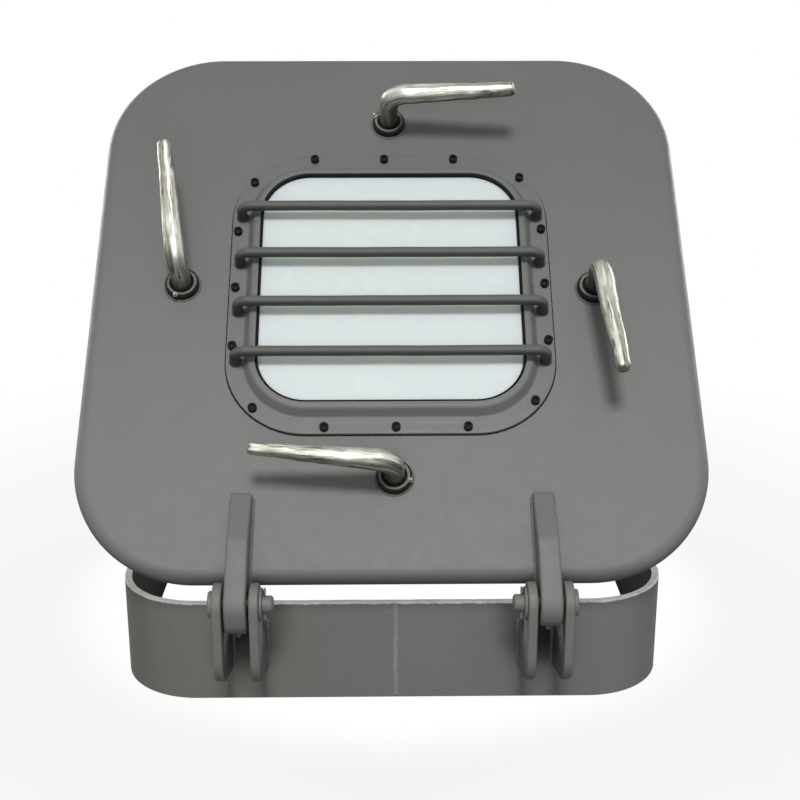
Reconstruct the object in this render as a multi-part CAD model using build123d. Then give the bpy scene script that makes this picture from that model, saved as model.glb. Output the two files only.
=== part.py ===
from build123d import *
from math import cos, hypot, radians, sin, tan
import os

# A weathertight deck hatch with a square window in its lid, standing part open.
# Millimetres, +Z up, +Y away from the hinges. The origin is the centre of the coaming's foot, on the deck.
# The lid and all it carries are drawn shut and then turned about the hinge pins to the rest angle.

# Coaming, a ring of rolled plate
clear_opening = 600.0
coaming_plate = 8.0
coaming_height = 116.0
coaming_inner_radius = 82.0
coaming_edge_break = 0.8

# Lid pan, plate with a rolled and turned down rim
lid_overhang = 42.0
lid_corner_radius = 140.0
lid_plate = 6.0
lid_roll_radius = 15.0
lid_rim_depth = 18.0
lid_lift = 25.0
rest_angle = 47.2

# Gasket channel under the lid
channel_bar = 6.0
channel_width = 24.0
channel_depth = 24.0
gasket_side_gap = 0.3
gasket_rim_gap = 0.3
gasket_lip_radius = 4.0

# Hinges
hinge_edge_gap = 28.5
hinge_rise = 33.0
hinge_spacing = 324.0
lug_plate = 10.0
lug_gap = 28.0
lug_head_radius = 22.0
lug_foot_height = 38.0
lug_corner_height = 46.0
lug_belly_radius = 50.0
lug_top_height = 98.0
lug_throat = 1.5
lug_edge_radius = 2.0
pin_diameter = 18.0
pin_fit = 0.05
pin_head_diameter = 28.0
pin_head_height = 5.0
pin_tail = 14.0
pin_chamfer = 2.0
pin_washer_diameter = 34.0
pin_washer_height = 3.0
split_pin_diameter = 4.0
split_pin_length = 30.0
split_pin_eye_radius = 4.0
split_pin_leg_spread = 20.0

# Hinge arms on the lid
arm_plate = 23.0
arm_eye_radius = 24.0
arm_length = 94.0
arm_ramp_length = 60.0
arm_end_height = 12.0
arm_edge_radius = 3.0
arm_bush_wall = 3.0
arm_bush_side_gap = 0.4
arm_nipple_angle = -128.0
left_arm_eye_drop = 7.5

# Window
window_opening = 300.0
window_corner_radius = 55.0
glass_thickness = 8.0
glass_cover = 3.0
glazing_lip = 2.0
glazing_wall = 2.7
glazing_lip_reach = 3.0
glazing_bead = 2.6
glass_edge_break = 0.8
window_shift = (-1.0, 3.3)
backing_plate = 6.0
ring_plate = 4.0
ring_flange = 20.0
ring_band_slope = 7.0
ring_band_width = 7.0
ring_band_edge_radius = 3.0

# Window screws, socket head cap screws
screw_diameter = 6.0
screw_head_diameter = 10.0
screw_head_height = 6.0
screw_socket = 5.0
screw_socket_depth = 3.0
screw_edge_distance = 7.0
screw_head_chamfer = 0.6
screw_pitch = {"far": 84.5, "right": 75.0, "near": 79.6, "left": 77.0}
screw_row_shift = {"far": -6.5, "right": 3.0, "near": 5.5, "left": -1.0}
screw_corner_angle = (42.5, 143.0, 226.0, 321.0)

# Guard bars over the window
guard_count = 4
guard_diameter = 12.0
guard_height = 29.0
guard_pitch = 64.6
guard_foot_inset = 11.5
guard_bend_radius = 13.0

# Dogs, which clamp the lid to wedges inside the coaming
dog_inset = 62.5
spindle_diameter = 22.0
spindle_fit = 0.05
bush_diameter = 39.0
bush_height = 10.0
bush_length = 50.0
bush_chamfer = 2.0
seal_diameter = 28.4
seal_height = 8.0
seal_fit = 0.1
seal_recess = 1.5
collar_height = 4.0
collar_gap = 0.3
lever_axis_height = 58.5
lever_rise_angle = 7.5
lever_length = 150.0
lever_root_diameter = 23.0
lever_tip_diameter = 12.5
lever_bend_radius = 22.0
lever_tip_rounding = 3.0
square_side = 16.0
square_corner = 1.5
hub_diameter = 38.0
hub_gap = 0.4
hub_height = 31.0
nose_reach = 50.0
nose_tip_radius = 10.0
nose_root_radius = 15.0
nose_thickness = 14.0
nose_drop = 16.0
inner_handle_length = 118.0
inner_handle_root = 19.0
inner_handle_tip = 13.0
inner_handle_fall = 7.0
inner_handle_lift = 3.5
stud_diameter = 14.0
stud_past_nut = 3.0
nut_width = 22.0
nut_height = 11.0
dog_washer_diameter = 30.0
dog_washer_height = 2.5

# Wedges that the dogs' noses turn under
wedge_depth = 26.0
wedge_height = 20.0
wedge_rise = 7.0
wedge_lead = 44.0
wedge_flat = 10.0
wedge_past = 14.0
wedge_gap = 0.5

# Grease nipples
nipple_hex = 8.0
nipple_hex_height = 4.0
nipple_neck_diameter = 4.5
nipple_neck_height = 3.0
nipple_ball_diameter = 6.0
bush_nipple_scale = 0.72
bush_nipple_angle = 160.0

# The way each dog's lever is turned at rest from lying along its edge, anticlockwise seen from outside
dog_rest_turn = {"far": -2.7, "right": 5.2, "near": -2.0, "left": 7.9}
dog_edge_angle = {"far": 0.0, "right": -90.0, "near": 180.0, "left": 90.0}

# How far each dog stands from the middle of its side, in X and Y on the shut lid
dog_shift = {"far": (-1.5, 2.0), "right": (-1.0, 2.0), "near": (2.0, 2.0), "left": (-5.5, 8.0)}

# Worked out from the sizes above
coaming_size = clear_opening + 2 * coaming_plate
lid_size = coaming_size + 2 * lid_overhang
dog_offset = clear_opening / 2 - dog_inset
ring_opening = window_opening + 2 * glazing_lip_reach
ring_band_size = ring_opening + 2 * ring_band_width
ring_band_foot = ring_band_size + 2 * ring_band_slope
ring_size = ring_band_foot + 2 * ring_flange
arm_eye_drop = {-1: left_arm_eye_drop, 1: 0.0}
lid_face = coaming_height + lid_lift
lid_underside = lid_face - lid_plate
hinge_y = -(lid_size / 2 + hinge_edge_gap)
hinge_z = coaming_height + hinge_rise
lid_edge_y = -lid_size / 2
hinge_line = Axis((0, hinge_y, hinge_z), (1, 0, 0))
sides = {-1: "left", 1: "right"}


def square_block(size, radius, low, high):
    """A square prism with rounded corners, between two heights."""
    return Pos(0, 0, low) * extrude(RectangleRounded(size, size, radius), high - low)


def square_ring(size, radius, width, low, high):
    """A square ring with rounded corners, given by its outer size and the width of its wall."""
    return square_block(size, radius, low, high) - square_block(size - 2 * width, radius - width, low, high)


def flared_block(low_size, low_radius, high_size, high_radius, low, high):
    """A square prism with rounded corners and sloping sides."""
    foot = Pos(0, 0, low) * RectangleRounded(low_size, low_size, low_radius)
    head = Pos(0, 0, high) * RectangleRounded(high_size, high_size, high_radius)
    return loft([foot, head], ruled=True)


def post(radius, low, high):
    """A round bar about the Z axis, between two heights."""
    return Pos(0, 0, low) * Cylinder(radius, high - low, align=(Align.CENTER, Align.CENTER, Align.MIN))


def cross_bar(radius, x_from, x_to):
    """A round bar along the hinge line."""
    low = min(x_from, x_to)
    bar = Cylinder(radius, abs(x_to - x_from), align=(Align.CENTER, Align.CENTER, Align.MIN))
    return Pos(low, hinge_y, hinge_z) * Rot(0, 90, 0) * bar


def cross_ring(outer_radius, inner_radius, x_from, x_to):
    """A round ring along the hinge line."""
    low = min(x_from, x_to)
    high = max(x_from, x_to)
    return cross_bar(outer_radius, low, high) - cross_bar(inner_radius, low - 1, high + 1)


def side_plate(outline, x_from, x_to):
    """A plate cut to an outline drawn in the Y-Z plane, lying between two values of X."""
    low = min(x_from, x_to)
    return Pos(low, 0, 0) * extrude(Plane.YZ * outline, abs(x_to - x_from))


def opened(piece):
    """Turns a piece drawn on the shut lid about the hinge pins to where it stands at rest."""
    return piece.rotate(hinge_line, rest_angle)


def save(name, piece):
    """Writes one node, with the piece or group of pieces that it holds."""
    solids = piece if isinstance(piece, list) else list(piece.solids())
    shape = solids[0] if len(solids) == 1 else Compound(children=solids)
    export_step(shape, f"parts/{name}.step")


def grease_nipple():
    """A grease nipple standing on the Z axis: hexagon, neck and ball, with a short stem below."""
    hexagon = extrude(RegularPolygon(nipple_hex / 2, 6, major_radius=False), nipple_hex_height)
    neck_top = nipple_hex_height + nipple_neck_height
    neck = post(nipple_neck_diameter / 2, 0, neck_top)
    ball = Pos(0, 0, neck_top) * Sphere(nipple_ball_diameter / 2)
    return hexagon + neck + ball


def coaming():
    """The rolled ring that stands on the deck, with its sharp top corners broken."""
    outer_radius = coaming_inner_radius + coaming_plate
    ring = square_ring(coaming_size, outer_radius, coaming_plate, 0, coaming_height)
    rim = ring.faces().sort_by(Axis.Z)[-1].edges()
    return chamfer(rim, coaming_edge_break)


def lug_outline():
    """A hinge lug seen from the side: welded to the coaming, raised at the front into the pin's eye."""
    face = -coaming_size / 2
    back = hinge_y + lug_head_radius - lug_throat
    front = hinge_y - lug_head_radius
    body = Polygon(
        (face, lug_foot_height),
        (face, lug_top_height),
        (back, lug_top_height),
        (back, hinge_z),
        (front, hinge_z),
        (front, lug_corner_height),
        align=None,
    )
    corner = body.vertices().sort_by_distance((front, lug_corner_height, 0))[0]
    body = fillet(corner, lug_belly_radius)
    eye = Pos(hinge_y, hinge_z) * Circle(lug_head_radius)
    hole = Pos(hinge_y, hinge_z) * Circle(pin_diameter / 2 + pin_fit)
    return body + eye - hole


def hinge_lug(x_from):
    """One lug, with the corners of its cut edge rounded but its weld face left sharp."""
    lug = side_plate(lug_outline(), x_from, x_from + lug_plate)
    weld_line = -coaming_size / 2
    hole_reach = pin_diameter / 2 + 1
    rounded = []
    for face in (lug.faces().sort_by(Axis.X)[0], lug.faces().sort_by(Axis.X)[-1]):
        for edge in face.edges():
            centre = edge.center()
            on_weld = abs(centre.Y - weld_line) < 0.01
            in_hole = hypot(centre.Y - hinge_y, centre.Z - hinge_z) < hole_reach
            if not on_weld and not in_hole:
                rounded.append(edge)
    return fillet(rounded, lug_edge_radius)


def hinge_pin(side):
    """A headed pin, head outwards, with a cross hole in its tail for the split pin."""
    centre = side * hinge_spacing / 2
    head_face = centre + side * (lug_gap / 2 + lug_plate)
    tail_end = centre - side * (lug_gap / 2 + lug_plate + pin_tail)
    head = cross_bar(pin_head_diameter / 2, head_face, head_face + side * pin_head_height)
    shank = cross_bar(pin_diameter / 2, head_face, tail_end)
    tail_edge = shank.edges().filter_by(GeomType.CIRCLE).sort_by(Axis.X)[0 if side > 0 else -1]
    shank = chamfer(tail_edge, pin_chamfer)
    hole = Pos(split_pin_x(side), hinge_y, hinge_z) * Cylinder(split_pin_diameter / 2, pin_diameter * 2)
    return head + shank - hole


def split_pin_x(side):
    """Where the split pin crosses the hinge pin: half way along the tail that is left past the washer."""
    washer_face = lug_gap / 2 + lug_plate + pin_washer_height
    tail_end = lug_gap / 2 + lug_plate + pin_tail
    return side * (hinge_spacing / 2 - (washer_face + tail_end) / 2)


def hinge_washer(side):
    """The washer between the inner lug and the split pin."""
    lug_face = side * (hinge_spacing / 2 - lug_gap / 2 - lug_plate)
    inner_face = lug_face - side * pin_washer_height
    return cross_ring(pin_washer_diameter / 2, pin_diameter / 2, lug_face, inner_face)


def split_pin(side):
    """A split pin through the hinge pin's tail: eye on top, shank, and two legs spread below."""
    half = split_pin_length / 2
    shank = post(split_pin_diameter / 2, -half, half)
    eye = Pos(0, 0, half + split_pin_eye_radius) * Rot(90, 0, 0)
    eye = eye * Torus(split_pin_eye_radius, split_pin_diameter / 4)
    leg = post(split_pin_diameter / 4, -half / 2, 0)
    legs = [Pos(0, 0, -half + 1) * Rot(turn * split_pin_leg_spread, 0, 0) * leg for turn in (-1, 1)]
    return Pos(split_pin_x(side), hinge_y, hinge_z) * (shank + eye + legs[0] + legs[1])


def arm_outline(side):
    """A hinge arm seen from the side: level with the top of its eye, then sloping down along the lid to its end."""
    top = hinge_z + arm_eye_radius
    end_y = lid_edge_y + arm_length
    lowest = hinge_z - arm_eye_radius
    body = Polygon(
        (hinge_y, lowest),
        (lid_edge_y, lowest),
        (end_y, lid_underside),
        (end_y, lid_face + arm_end_height),
        (end_y - arm_ramp_length, top),
        (hinge_y, top),
        align=None,
    )
    drop = arm_eye_drop[side]
    eye = Pos(hinge_y, hinge_z) * Circle(arm_eye_radius)
    if drop > 0:
        turn = radians(arm_nipple_angle)
        lower_eye = Pos(drop * cos(turn), drop * sin(turn)) * eye
        eye = make_hull(eye.edges() + lower_eye.edges())
    return body + eye


def hinge_arm(side):
    """One arm, shaped to the rolled rim that it is welded to, bored for its bush and grease nipple."""
    low_x = side * hinge_spacing / 2 - arm_plate / 2
    arm = side_plate(arm_outline(side), low_x, low_x + arm_plate)
    ends = (arm.faces().sort_by(Axis.X)[0], arm.faces().sort_by(Axis.X)[-1])
    top_edges = [e for face in ends for e in face.edges() if e.center().Z > lid_face + 1 or e.center().Y < hinge_y]
    arm = fillet(top_edges, arm_edge_radius)
    arm = arm - lid_envelope()
    return arm - cross_bar(arm_bush_radius(), low_x - 1, low_x + arm_plate + 1)


def arm_bush_radius():
    return pin_diameter / 2 + pin_fit + arm_bush_wall


def arm_bush(side):
    """The bronze bush in an arm's eye, long enough to keep the arm centred between the lugs."""
    half = lug_gap / 2 - arm_bush_side_gap
    centre = side * hinge_spacing / 2
    return cross_ring(arm_bush_radius(), pin_diameter / 2 + pin_fit, centre - half, centre + half)


def arm_nipple(side):
    """The grease nipple in the underside of an arm's eye."""
    place = Pos(side * hinge_spacing / 2, hinge_y, hinge_z) * Rot(arm_nipple_angle - 90, 0, 0)
    return place * Pos(0, 0, arm_eye_radius + arm_eye_drop[side]) * grease_nipple()


def lid_envelope():
    """The lid pan with its hollow filled in."""
    block = square_block(lid_size, lid_corner_radius, lid_face - lid_rim_depth, lid_face)
    return fillet(block.faces().sort_by(Axis.Z)[-1].edges(), lid_roll_radius)


def lid_pan():
    """Lid plate with a rolled rim, cut for the window, the dogs' bushes and the window screws."""
    hollow_size = lid_size - 2 * lid_plate
    hollow = square_block(hollow_size, lid_corner_radius - lid_plate, lid_face - lid_rim_depth, lid_underside)
    hollow = fillet(hollow.faces().sort_by(Axis.Z)[-1].edges(), lid_roll_radius - lid_plate)
    window = at_window(square_block(window_opening, window_corner_radius, lid_underside, lid_face))
    pan = lid_envelope() - hollow - window
    for name in dog_edge_angle:
        pan = pan - at_dog(name, post(bush_diameter / 2, -lid_plate, 0))
    for x, y in screw_places():
        pan = pan - Pos(x, y, 0) * post(screw_diameter / 2, lid_underside, lid_face)
    return pan


def channel_ring(centre_size, low, high, width):
    """A ring that runs along the line where the lid meets the coaming's rim."""
    corner = coaming_inner_radius + (centre_size - clear_opening) / 2
    return square_ring(centre_size + width, corner + width / 2, width, low, high)


def gasket_channel_bar(turn):
    """One of the two flat bars that hold the lid's gasket: turn is 1 outside the coaming and -1 inside it."""
    middle = coaming_size - coaming_plate
    centre = middle + turn * (channel_width + channel_bar)
    return channel_ring(centre, lid_underside - channel_depth, lid_underside, channel_bar)


def lid_gasket():
    """The rubber seal between the two bars, its free face rounded at both edges, clear of the rim it presses on."""
    middle = coaming_size - coaming_plate
    free_face = coaming_height + gasket_rim_gap
    gasket = channel_ring(middle, free_face, lid_underside, channel_width - 2 * gasket_side_gap)
    return fillet(gasket.faces().sort_by(Axis.Z)[0].edges(), gasket_lip_radius)


def concentric(size):
    """Corner radius of a square at the window that keeps the same centre as the opening's corner."""
    return window_corner_radius + (size - window_opening) / 2


def at_window(piece):
    """Moves a piece drawn about the middle of the lid to where the window is cut."""
    return Pos(window_shift[0], window_shift[1], 0) * piece


def screw_places():
    """The sixteen window screws, drilled by hand: three along each side and one on each corner's arc."""
    row = ring_size / 2 - screw_edge_distance
    core = ring_size / 2 - concentric(ring_size)
    reach = concentric(ring_size) - screw_edge_distance
    places = []
    for angle, (sx, sy) in zip(screw_corner_angle, ((1, 1), (-1, 1), (-1, -1), (1, -1))):
        turn = radians(angle)
        places.append((sx * core + reach * cos(turn), sy * core + reach * sin(turn)))
    for step in (-1, 0, 1):
        for name, side in (("far", 1), ("near", -1)):
            places.append((step * screw_pitch[name] + screw_row_shift[name], side * row))
        for name, side in (("right", 1), ("left", -1)):
            places.append((side * row, step * screw_pitch[name] + screw_row_shift[name]))
    return [(x + window_shift[0], y + window_shift[1]) for x, y in places]


def backing_ring():
    """The doubling ring under the plate, which gives the window screws their thread."""
    low = lid_underside - backing_plate
    width = (ring_size - window_opening) / 2
    ring = at_window(square_ring(ring_size, concentric(ring_size), width, low, lid_underside))
    for x, y in screw_places():
        ring = ring - Pos(x, y, 0) * post(screw_diameter / 2, low, lid_underside)
    return ring


def glass_block(grow, low, high):
    """The pane's outline, grown all round, between two heights above the lid."""
    size = window_opening + 2 * (glass_cover + grow)
    return square_block(size, concentric(size), lid_face + low, lid_face + high)


def window_glass():
    """The pane, with its upper edge ground."""
    pane = glass_block(0, glazing_lip, glazing_lip + glass_thickness)
    return at_window(chamfer(pane.faces().sort_by(Axis.Z)[-1].edges(), glass_edge_break))


def window_gasket():
    """The channel of rubber round the pane's edge: a lip below the glass and a raised bead above it."""
    top = 2 * glazing_lip + glass_thickness
    lip_size = ring_opening - 2 * glazing_lip_reach
    channel = glass_block(glazing_wall, 0, top)
    channel = channel - glass_block(0, glazing_lip, glazing_lip + glass_thickness)
    above = square_block(lip_size, concentric(lip_size), lid_face + glazing_lip + glass_thickness, lid_face + top)
    below = square_block(window_opening, window_corner_radius, lid_face, lid_face + glazing_lip)
    bead = square_ring(ring_opening, concentric(ring_opening), glazing_lip_reach, lid_face + top, lid_face + top + glazing_bead)
    return at_window(channel - above - below + bead)


def clamp_ring():
    """The pressed ring over the window's edge: a screwed flange, a sloping step and a raised inner band."""
    band_top = lid_face + 2 * glazing_lip + glass_thickness + ring_plate
    flange_top = lid_face + ring_plate
    inner_foot = ring_band_foot - 2 * ring_plate
    inner_head = ring_band_size - 2 * ring_plate
    flange = square_block(ring_size, concentric(ring_size), lid_face, flange_top)
    foot_radius = concentric(ring_band_foot)
    head_radius = concentric(ring_band_size)
    band = flared_block(ring_band_foot, foot_radius, ring_band_size, head_radius, flange_top, band_top)
    band = fillet(band.faces().sort_by(Axis.Z)[-1].edges(), ring_band_edge_radius)
    hollow = flared_block(
        inner_foot, concentric(inner_foot), inner_head, concentric(inner_head), lid_face, band_top - ring_plate
    )
    opening = square_block(ring_opening, concentric(ring_opening), lid_face, band_top)
    ring = at_window(flange + band - hollow - opening)
    for x, y in screw_places():
        ring = ring - Pos(x, y, 0) * post(screw_diameter / 2, lid_face, flange_top)
    return ring


def window_screw(x, y):
    """A socket head cap screw through the ring, the plate and the doubling ring."""
    seat = lid_face + ring_plate
    head = post(screw_head_diameter / 2, seat, seat + screw_head_height)
    head = chamfer(head.edges().filter_by(GeomType.CIRCLE).sort_by(Axis.Z)[-1], screw_head_chamfer)
    shank = post(screw_diameter / 2, lid_underside - backing_plate, seat)
    socket_floor = seat + screw_head_height - screw_socket_depth
    hexagon = RegularPolygon(screw_socket / 2, 6, major_radius=False)
    socket = Pos(0, 0, socket_floor) * extrude(hexagon, screw_socket_depth)
    return Pos(x, y, 0) * (head + shank - socket)


def guard_bar(index):
    """One round bar over the window, bent down at both ends onto the ring's flange."""
    foot_x = ring_size / 2 - guard_foot_inset
    foot_z = lid_face + ring_plate
    top_z = lid_face + guard_height
    y = (index - (guard_count - 1) / 2) * guard_pitch
    path = FilletPolyline(
        (-foot_x, y, foot_z), (-foot_x, y, top_z), (foot_x, y, top_z), (foot_x, y, foot_z),
        radius=guard_bend_radius,
    )
    section = Plane((-foot_x, y, foot_z), z_dir=(0, 0, 1)) * Circle(guard_diameter / 2)
    return at_window(sweep(section, path=path))


def at_dog(name, piece):
    """Puts a piece drawn about its own spindle, level with the lid's face, at its place on the shut lid."""
    turn = {"far": (0, 1), "right": (1, 0), "near": (0, -1), "left": (-1, 0)}[name]
    shift = dog_shift[name]
    return Pos(turn[0] * dog_offset + shift[0], turn[1] * dog_offset + shift[1], lid_face) * piece


def dog_bush():
    """The welded sleeve that carries a spindle, counterbored at the top for the collar and the seal."""
    sleeve = post(bush_diameter / 2, bush_height - bush_length, bush_height)
    sleeve = chamfer(sleeve.edges().filter_by(GeomType.CIRCLE).sort_by(Axis.Z)[-1], bush_chamfer)
    bore = post(spindle_diameter / 2 + spindle_fit, bush_height - bush_length, bush_height)
    counterbore = post(seal_diameter / 2, collar_seat(), bush_height)
    return sleeve - bore - counterbore


def collar_seat():
    """Height of the shoulder inside the bush that the spindle's collar rests on."""
    return bush_height - seal_recess - seal_height - collar_height - 2 * collar_gap


def dog_seal():
    """The rubber packing round the spindle in the mouth of its bush."""
    top = bush_height - seal_recess
    ring = post(seal_diameter / 2, top - seal_height, top)
    return ring - post(spindle_diameter / 2 + seal_fit, top - seal_height, top)


def dog_nipple(name):
    """The small grease nipple on the shoulder of a bush, on the side away from the lever."""
    reach = bush_diameter / 2 - bush_chamfer / 2
    base = Pos(reach, 0, bush_height - bush_chamfer / 2) * Rot(0, 45, 0)
    small = grease_nipple().scale(bush_nipple_scale)
    return at_dog(name, Rot(0, 0, dog_edge_angle[name] + bush_nipple_angle) * base * small)


def hub_top():
    return bush_height - bush_length - hub_gap


def dog_turn(name):
    """The way a dog's lever points at rest, anticlockwise from +X."""
    return dog_edge_angle[name] + dog_rest_turn[name]


def tapered_rod(start, direction, length, root, tip, rounding):
    """A round rod that narrows from root to tip diameter, with a rounded end."""
    plane = Plane(start, z_dir=direction)
    rod = Cone(root / 2, tip / 2, length, align=(Align.CENTER, Align.CENTER, Align.MIN))
    rod = fillet(rod.edges().filter_by(GeomType.CIRCLE).sort_by(Axis.Z)[-1], rounding)
    return plane.location * rod


def dog_lever():
    """Spindle and outer lever in one forging: squared and threaded below, bent over and tapered above."""
    collar_low = collar_seat() + collar_gap
    square_top = hub_top()
    square_low = square_top - hub_height
    stud_low = square_low - dog_washer_height - nut_height - stud_past_nut
    turn = 90 - lever_rise_angle
    setback = lever_bend_radius * tan(radians(turn / 2))
    bend_start = lever_axis_height - setback
    out = (cos(radians(lever_rise_angle)), sin(radians(lever_rise_angle)))
    bend_end = (setback * out[0], 0, lever_axis_height + setback * out[1])
    stem = post(spindle_diameter / 2, square_top, bend_start)
    collar = post(seal_diameter / 2 - collar_gap, collar_low, collar_low + collar_height)
    side_of_square = Rectangle(square_side, square_side)
    square_end = Pos(0, 0, square_low) * extrude(side_of_square, hub_height)
    square_end = fillet(square_end.edges().filter_by(Axis.Z), square_corner)
    stud = post(stud_diameter / 2, stud_low, square_low)
    elbow = swept_elbow(bend_start, turn)
    straight = lever_length / out[0] - setback
    lever = tapered_rod(
        bend_end, (out[0], 0, out[1]), straight, lever_root_diameter, lever_tip_diameter, lever_tip_rounding
    )
    return stem + collar + square_end + stud + elbow + lever


def swept_elbow(bend_start, turn):
    """The bend between spindle and lever, a circle turned about the bend's centre."""
    axis = Axis((lever_bend_radius, 0, bend_start), (0, 1, 0))
    section = Plane((0, 0, bend_start), z_dir=(0, 0, 1)) * Circle(lever_root_diameter / 2)
    return revolve(section, axis, turn)


def dog_arm():
    """The inner arm on the squared end: hub, clamping nose, and the handle for use from below."""
    top = hub_top()
    low = top - hub_height
    hub = post(hub_diameter / 2, low, top)
    nose_top = top - nose_drop
    tip = Pos(nose_reach - nose_tip_radius, 0) * Circle(nose_tip_radius)
    root = Circle(nose_root_radius)
    nose = Pos(0, 0, nose_top - nose_thickness) * extrude(make_hull(tip.edges() + root.edges()), nose_thickness)
    fall = radians(inner_handle_fall)
    handle = tapered_rod(
        (0, 0, low + inner_handle_root / 2 + inner_handle_lift),
        (-cos(fall), 0, -sin(fall)),
        inner_handle_length / cos(fall),
        inner_handle_root,
        inner_handle_tip,
        lever_tip_rounding,
    )
    arm = hub + nose + handle
    return arm - Pos(0, 0, low) * extrude(Rectangle(square_side, square_side), hub_height)


def dog_washer():
    """The washer under the nut."""
    top = hub_top() - hub_height
    ring = post(dog_washer_diameter / 2, top - dog_washer_height, top)
    return ring - post(stud_diameter / 2, top - dog_washer_height, top)


def dog_nut():
    """The hexagon nut that holds the arm on the spindle."""
    top = hub_top() - hub_height - dog_washer_height
    nut = Pos(0, 0, top - nut_height) * extrude(RegularPolygon(nut_width / 2, 6, major_radius=False), nut_height)
    return nut - post(stud_diameter / 2, top - nut_height, top)


def wedge(quarter, name):
    """A welded block inside the coaming whose underside slopes down to where the dog's nose comes to rest."""
    wall = clear_opening / 2
    nose_top = lid_face + hub_top() - nose_drop
    rest_z = nose_top + wedge_gap
    outline = Polygon(
        (-wedge_past, rest_z),
        (wedge_flat, rest_z),
        (wedge_lead, rest_z + wedge_rise),
        (wedge_lead, rest_z + wedge_height),
        (-wedge_past, rest_z + wedge_height),
        align=None,
    )
    block = Pos(0, wall, 0) * extrude(Plane.XZ * outline, wedge_depth)
    along = (1, 0) if quarter % 2 == 0 else (0, 1)
    return Pos(along[0] * dog_shift[name][0], along[1] * dog_shift[name][1], 0) * Rot(0, 0, -90 * quarter) * block


# Fixed pieces
save("coaming", coaming())
for side, side_name in sides.items():
    outer_x = side * hinge_spacing / 2 + (lug_gap / 2 if side > 0 else -lug_gap / 2 - lug_plate)
    inner_x = side * hinge_spacing / 2 + (-lug_gap / 2 - lug_plate if side > 0 else lug_gap / 2)
    save(f"hinge_lug_{side_name}_outer", hinge_lug(outer_x))
    save(f"hinge_lug_{side_name}_inner", hinge_lug(inner_x))
    save(f"hinge_pin_{side_name}", hinge_pin(side))
save("hinge_washers", [hinge_washer(side) for side in sides])
save("hinge_split_pins", [split_pin(side) for side in sides])
for quarter, name in enumerate(dog_edge_angle):
    save(f"dog_wedge_{name}", wedge(quarter, name))

# Lid
save("lid_pan", opened(lid_pan()))
save("gasket_bar_outer", opened(gasket_channel_bar(1)))
save("gasket_bar_inner", opened(gasket_channel_bar(-1)))
save("lid_gasket", opened(lid_gasket()))
save("window_backing_ring", opened(backing_ring()))
save("window_glass", opened(window_glass()))
save("window_gasket", opened(window_gasket()))
save("window_clamp_ring", opened(clamp_ring()))
save("window_screws", [opened(window_screw(x, y)) for x, y in screw_places()])
for index in range(guard_count):
    save(f"guard_bar_{index + 1}", opened(guard_bar(index)))
for side, side_name in sides.items():
    save(f"hinge_arm_{side_name}", opened(hinge_arm(side)))
    save(f"hinge_bush_{side_name}", opened(arm_bush(side)))
save("hinge_grease_nipples", [opened(arm_nipple(side)) for side in sides])

# Dogs
save("dog_seals", [opened(at_dog(name, dog_seal())) for name in dog_edge_angle])
save("dog_grease_nipples", [opened(dog_nipple(name)) for name in dog_edge_angle])
for name in dog_edge_angle:
    turned = Rot(0, 0, dog_turn(name))
    save(f"dog_bush_{name}", opened(at_dog(name, dog_bush())))
    save(f"dog_lever_{name}", opened(at_dog(name, turned * dog_lever())))
    save(f"dog_arm_{name}", opened(at_dog(name, turned * dog_arm())))
    save(f"dog_washer_{name}", opened(at_dog(name, turned * dog_washer())))
    save(f"dog_nut_{name}", opened(at_dog(name, turned * dog_nut())))
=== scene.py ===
from math import atan2, cos, hypot, pi, radians, sin, sqrt, tan

import bmesh
import bpy
import numpy as np
from bpy.props import FloatProperty, FloatVectorProperty, IntProperty, PointerProperty
from mathutils import Matrix, Vector
from mathutils.geometry import tessellate_polygon


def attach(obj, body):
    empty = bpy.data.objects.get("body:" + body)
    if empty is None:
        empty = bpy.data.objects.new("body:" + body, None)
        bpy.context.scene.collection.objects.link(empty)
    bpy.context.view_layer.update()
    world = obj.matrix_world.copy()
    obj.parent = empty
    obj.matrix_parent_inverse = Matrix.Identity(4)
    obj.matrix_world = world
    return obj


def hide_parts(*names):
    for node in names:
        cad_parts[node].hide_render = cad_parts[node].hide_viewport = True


bl_info = {
    "name": "Deck hatch",
    "version": (1, 0, 0),
    "blender": (4, 5, 0),
    "location": "View3D > Sidebar > Deck hatch",
    "description": "Builds and finishes the visible pieces of a deck hatch with a guarded window",
    "category": "Add Mesh",
}

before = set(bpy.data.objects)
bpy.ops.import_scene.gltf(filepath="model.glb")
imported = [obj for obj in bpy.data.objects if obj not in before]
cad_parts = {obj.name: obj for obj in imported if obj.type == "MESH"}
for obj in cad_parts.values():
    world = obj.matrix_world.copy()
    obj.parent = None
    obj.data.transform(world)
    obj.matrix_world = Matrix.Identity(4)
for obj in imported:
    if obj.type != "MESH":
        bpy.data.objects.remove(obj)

# Sizes shared with the CAD model, in millimetres. Heights on the lid are measured from its outer face.
LID_FACE = 141.0
HINGE_Y = -378.5
HINGE_Z = 149.0
REST_ANGLE = radians(47.2)
COAMING_HEIGHT = 116.0
ARM_PLATE = 23.0
ARM_END = -256.0
DOG_CENTRE = {"far": (-1.5, 239.5), "right": (236.5, 2.0), "near": (2.0, -235.5), "left": (-243.0, 8.0)}
DOG_EDGE = {"far": 0.0, "right": -90.0, "near": 180.0, "left": 90.0}
DOG_TURN = {"far": -2.7, "right": 4.2, "near": -2.6, "left": 7.9}
LEVER_LENGTH = {"far": 150.0, "right": 146.0, "near": 154.0, "left": 150.0}
LEVER_LIFT = {"far": 0.0, "right": 0.0, "near": -11.0, "left": 0.0}
LEVER_SHARES = {"far": (1.0, 1.04), "right": (0.92, 1.08), "near": (1.0, 0.80), "left": (1.0, 1.0)}
SIDES = {-1: "left", 1: "right"}
EYE_DROP = {-1: 7.5, 1: 0.0}
WINDOW_CORE = 95.0
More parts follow.
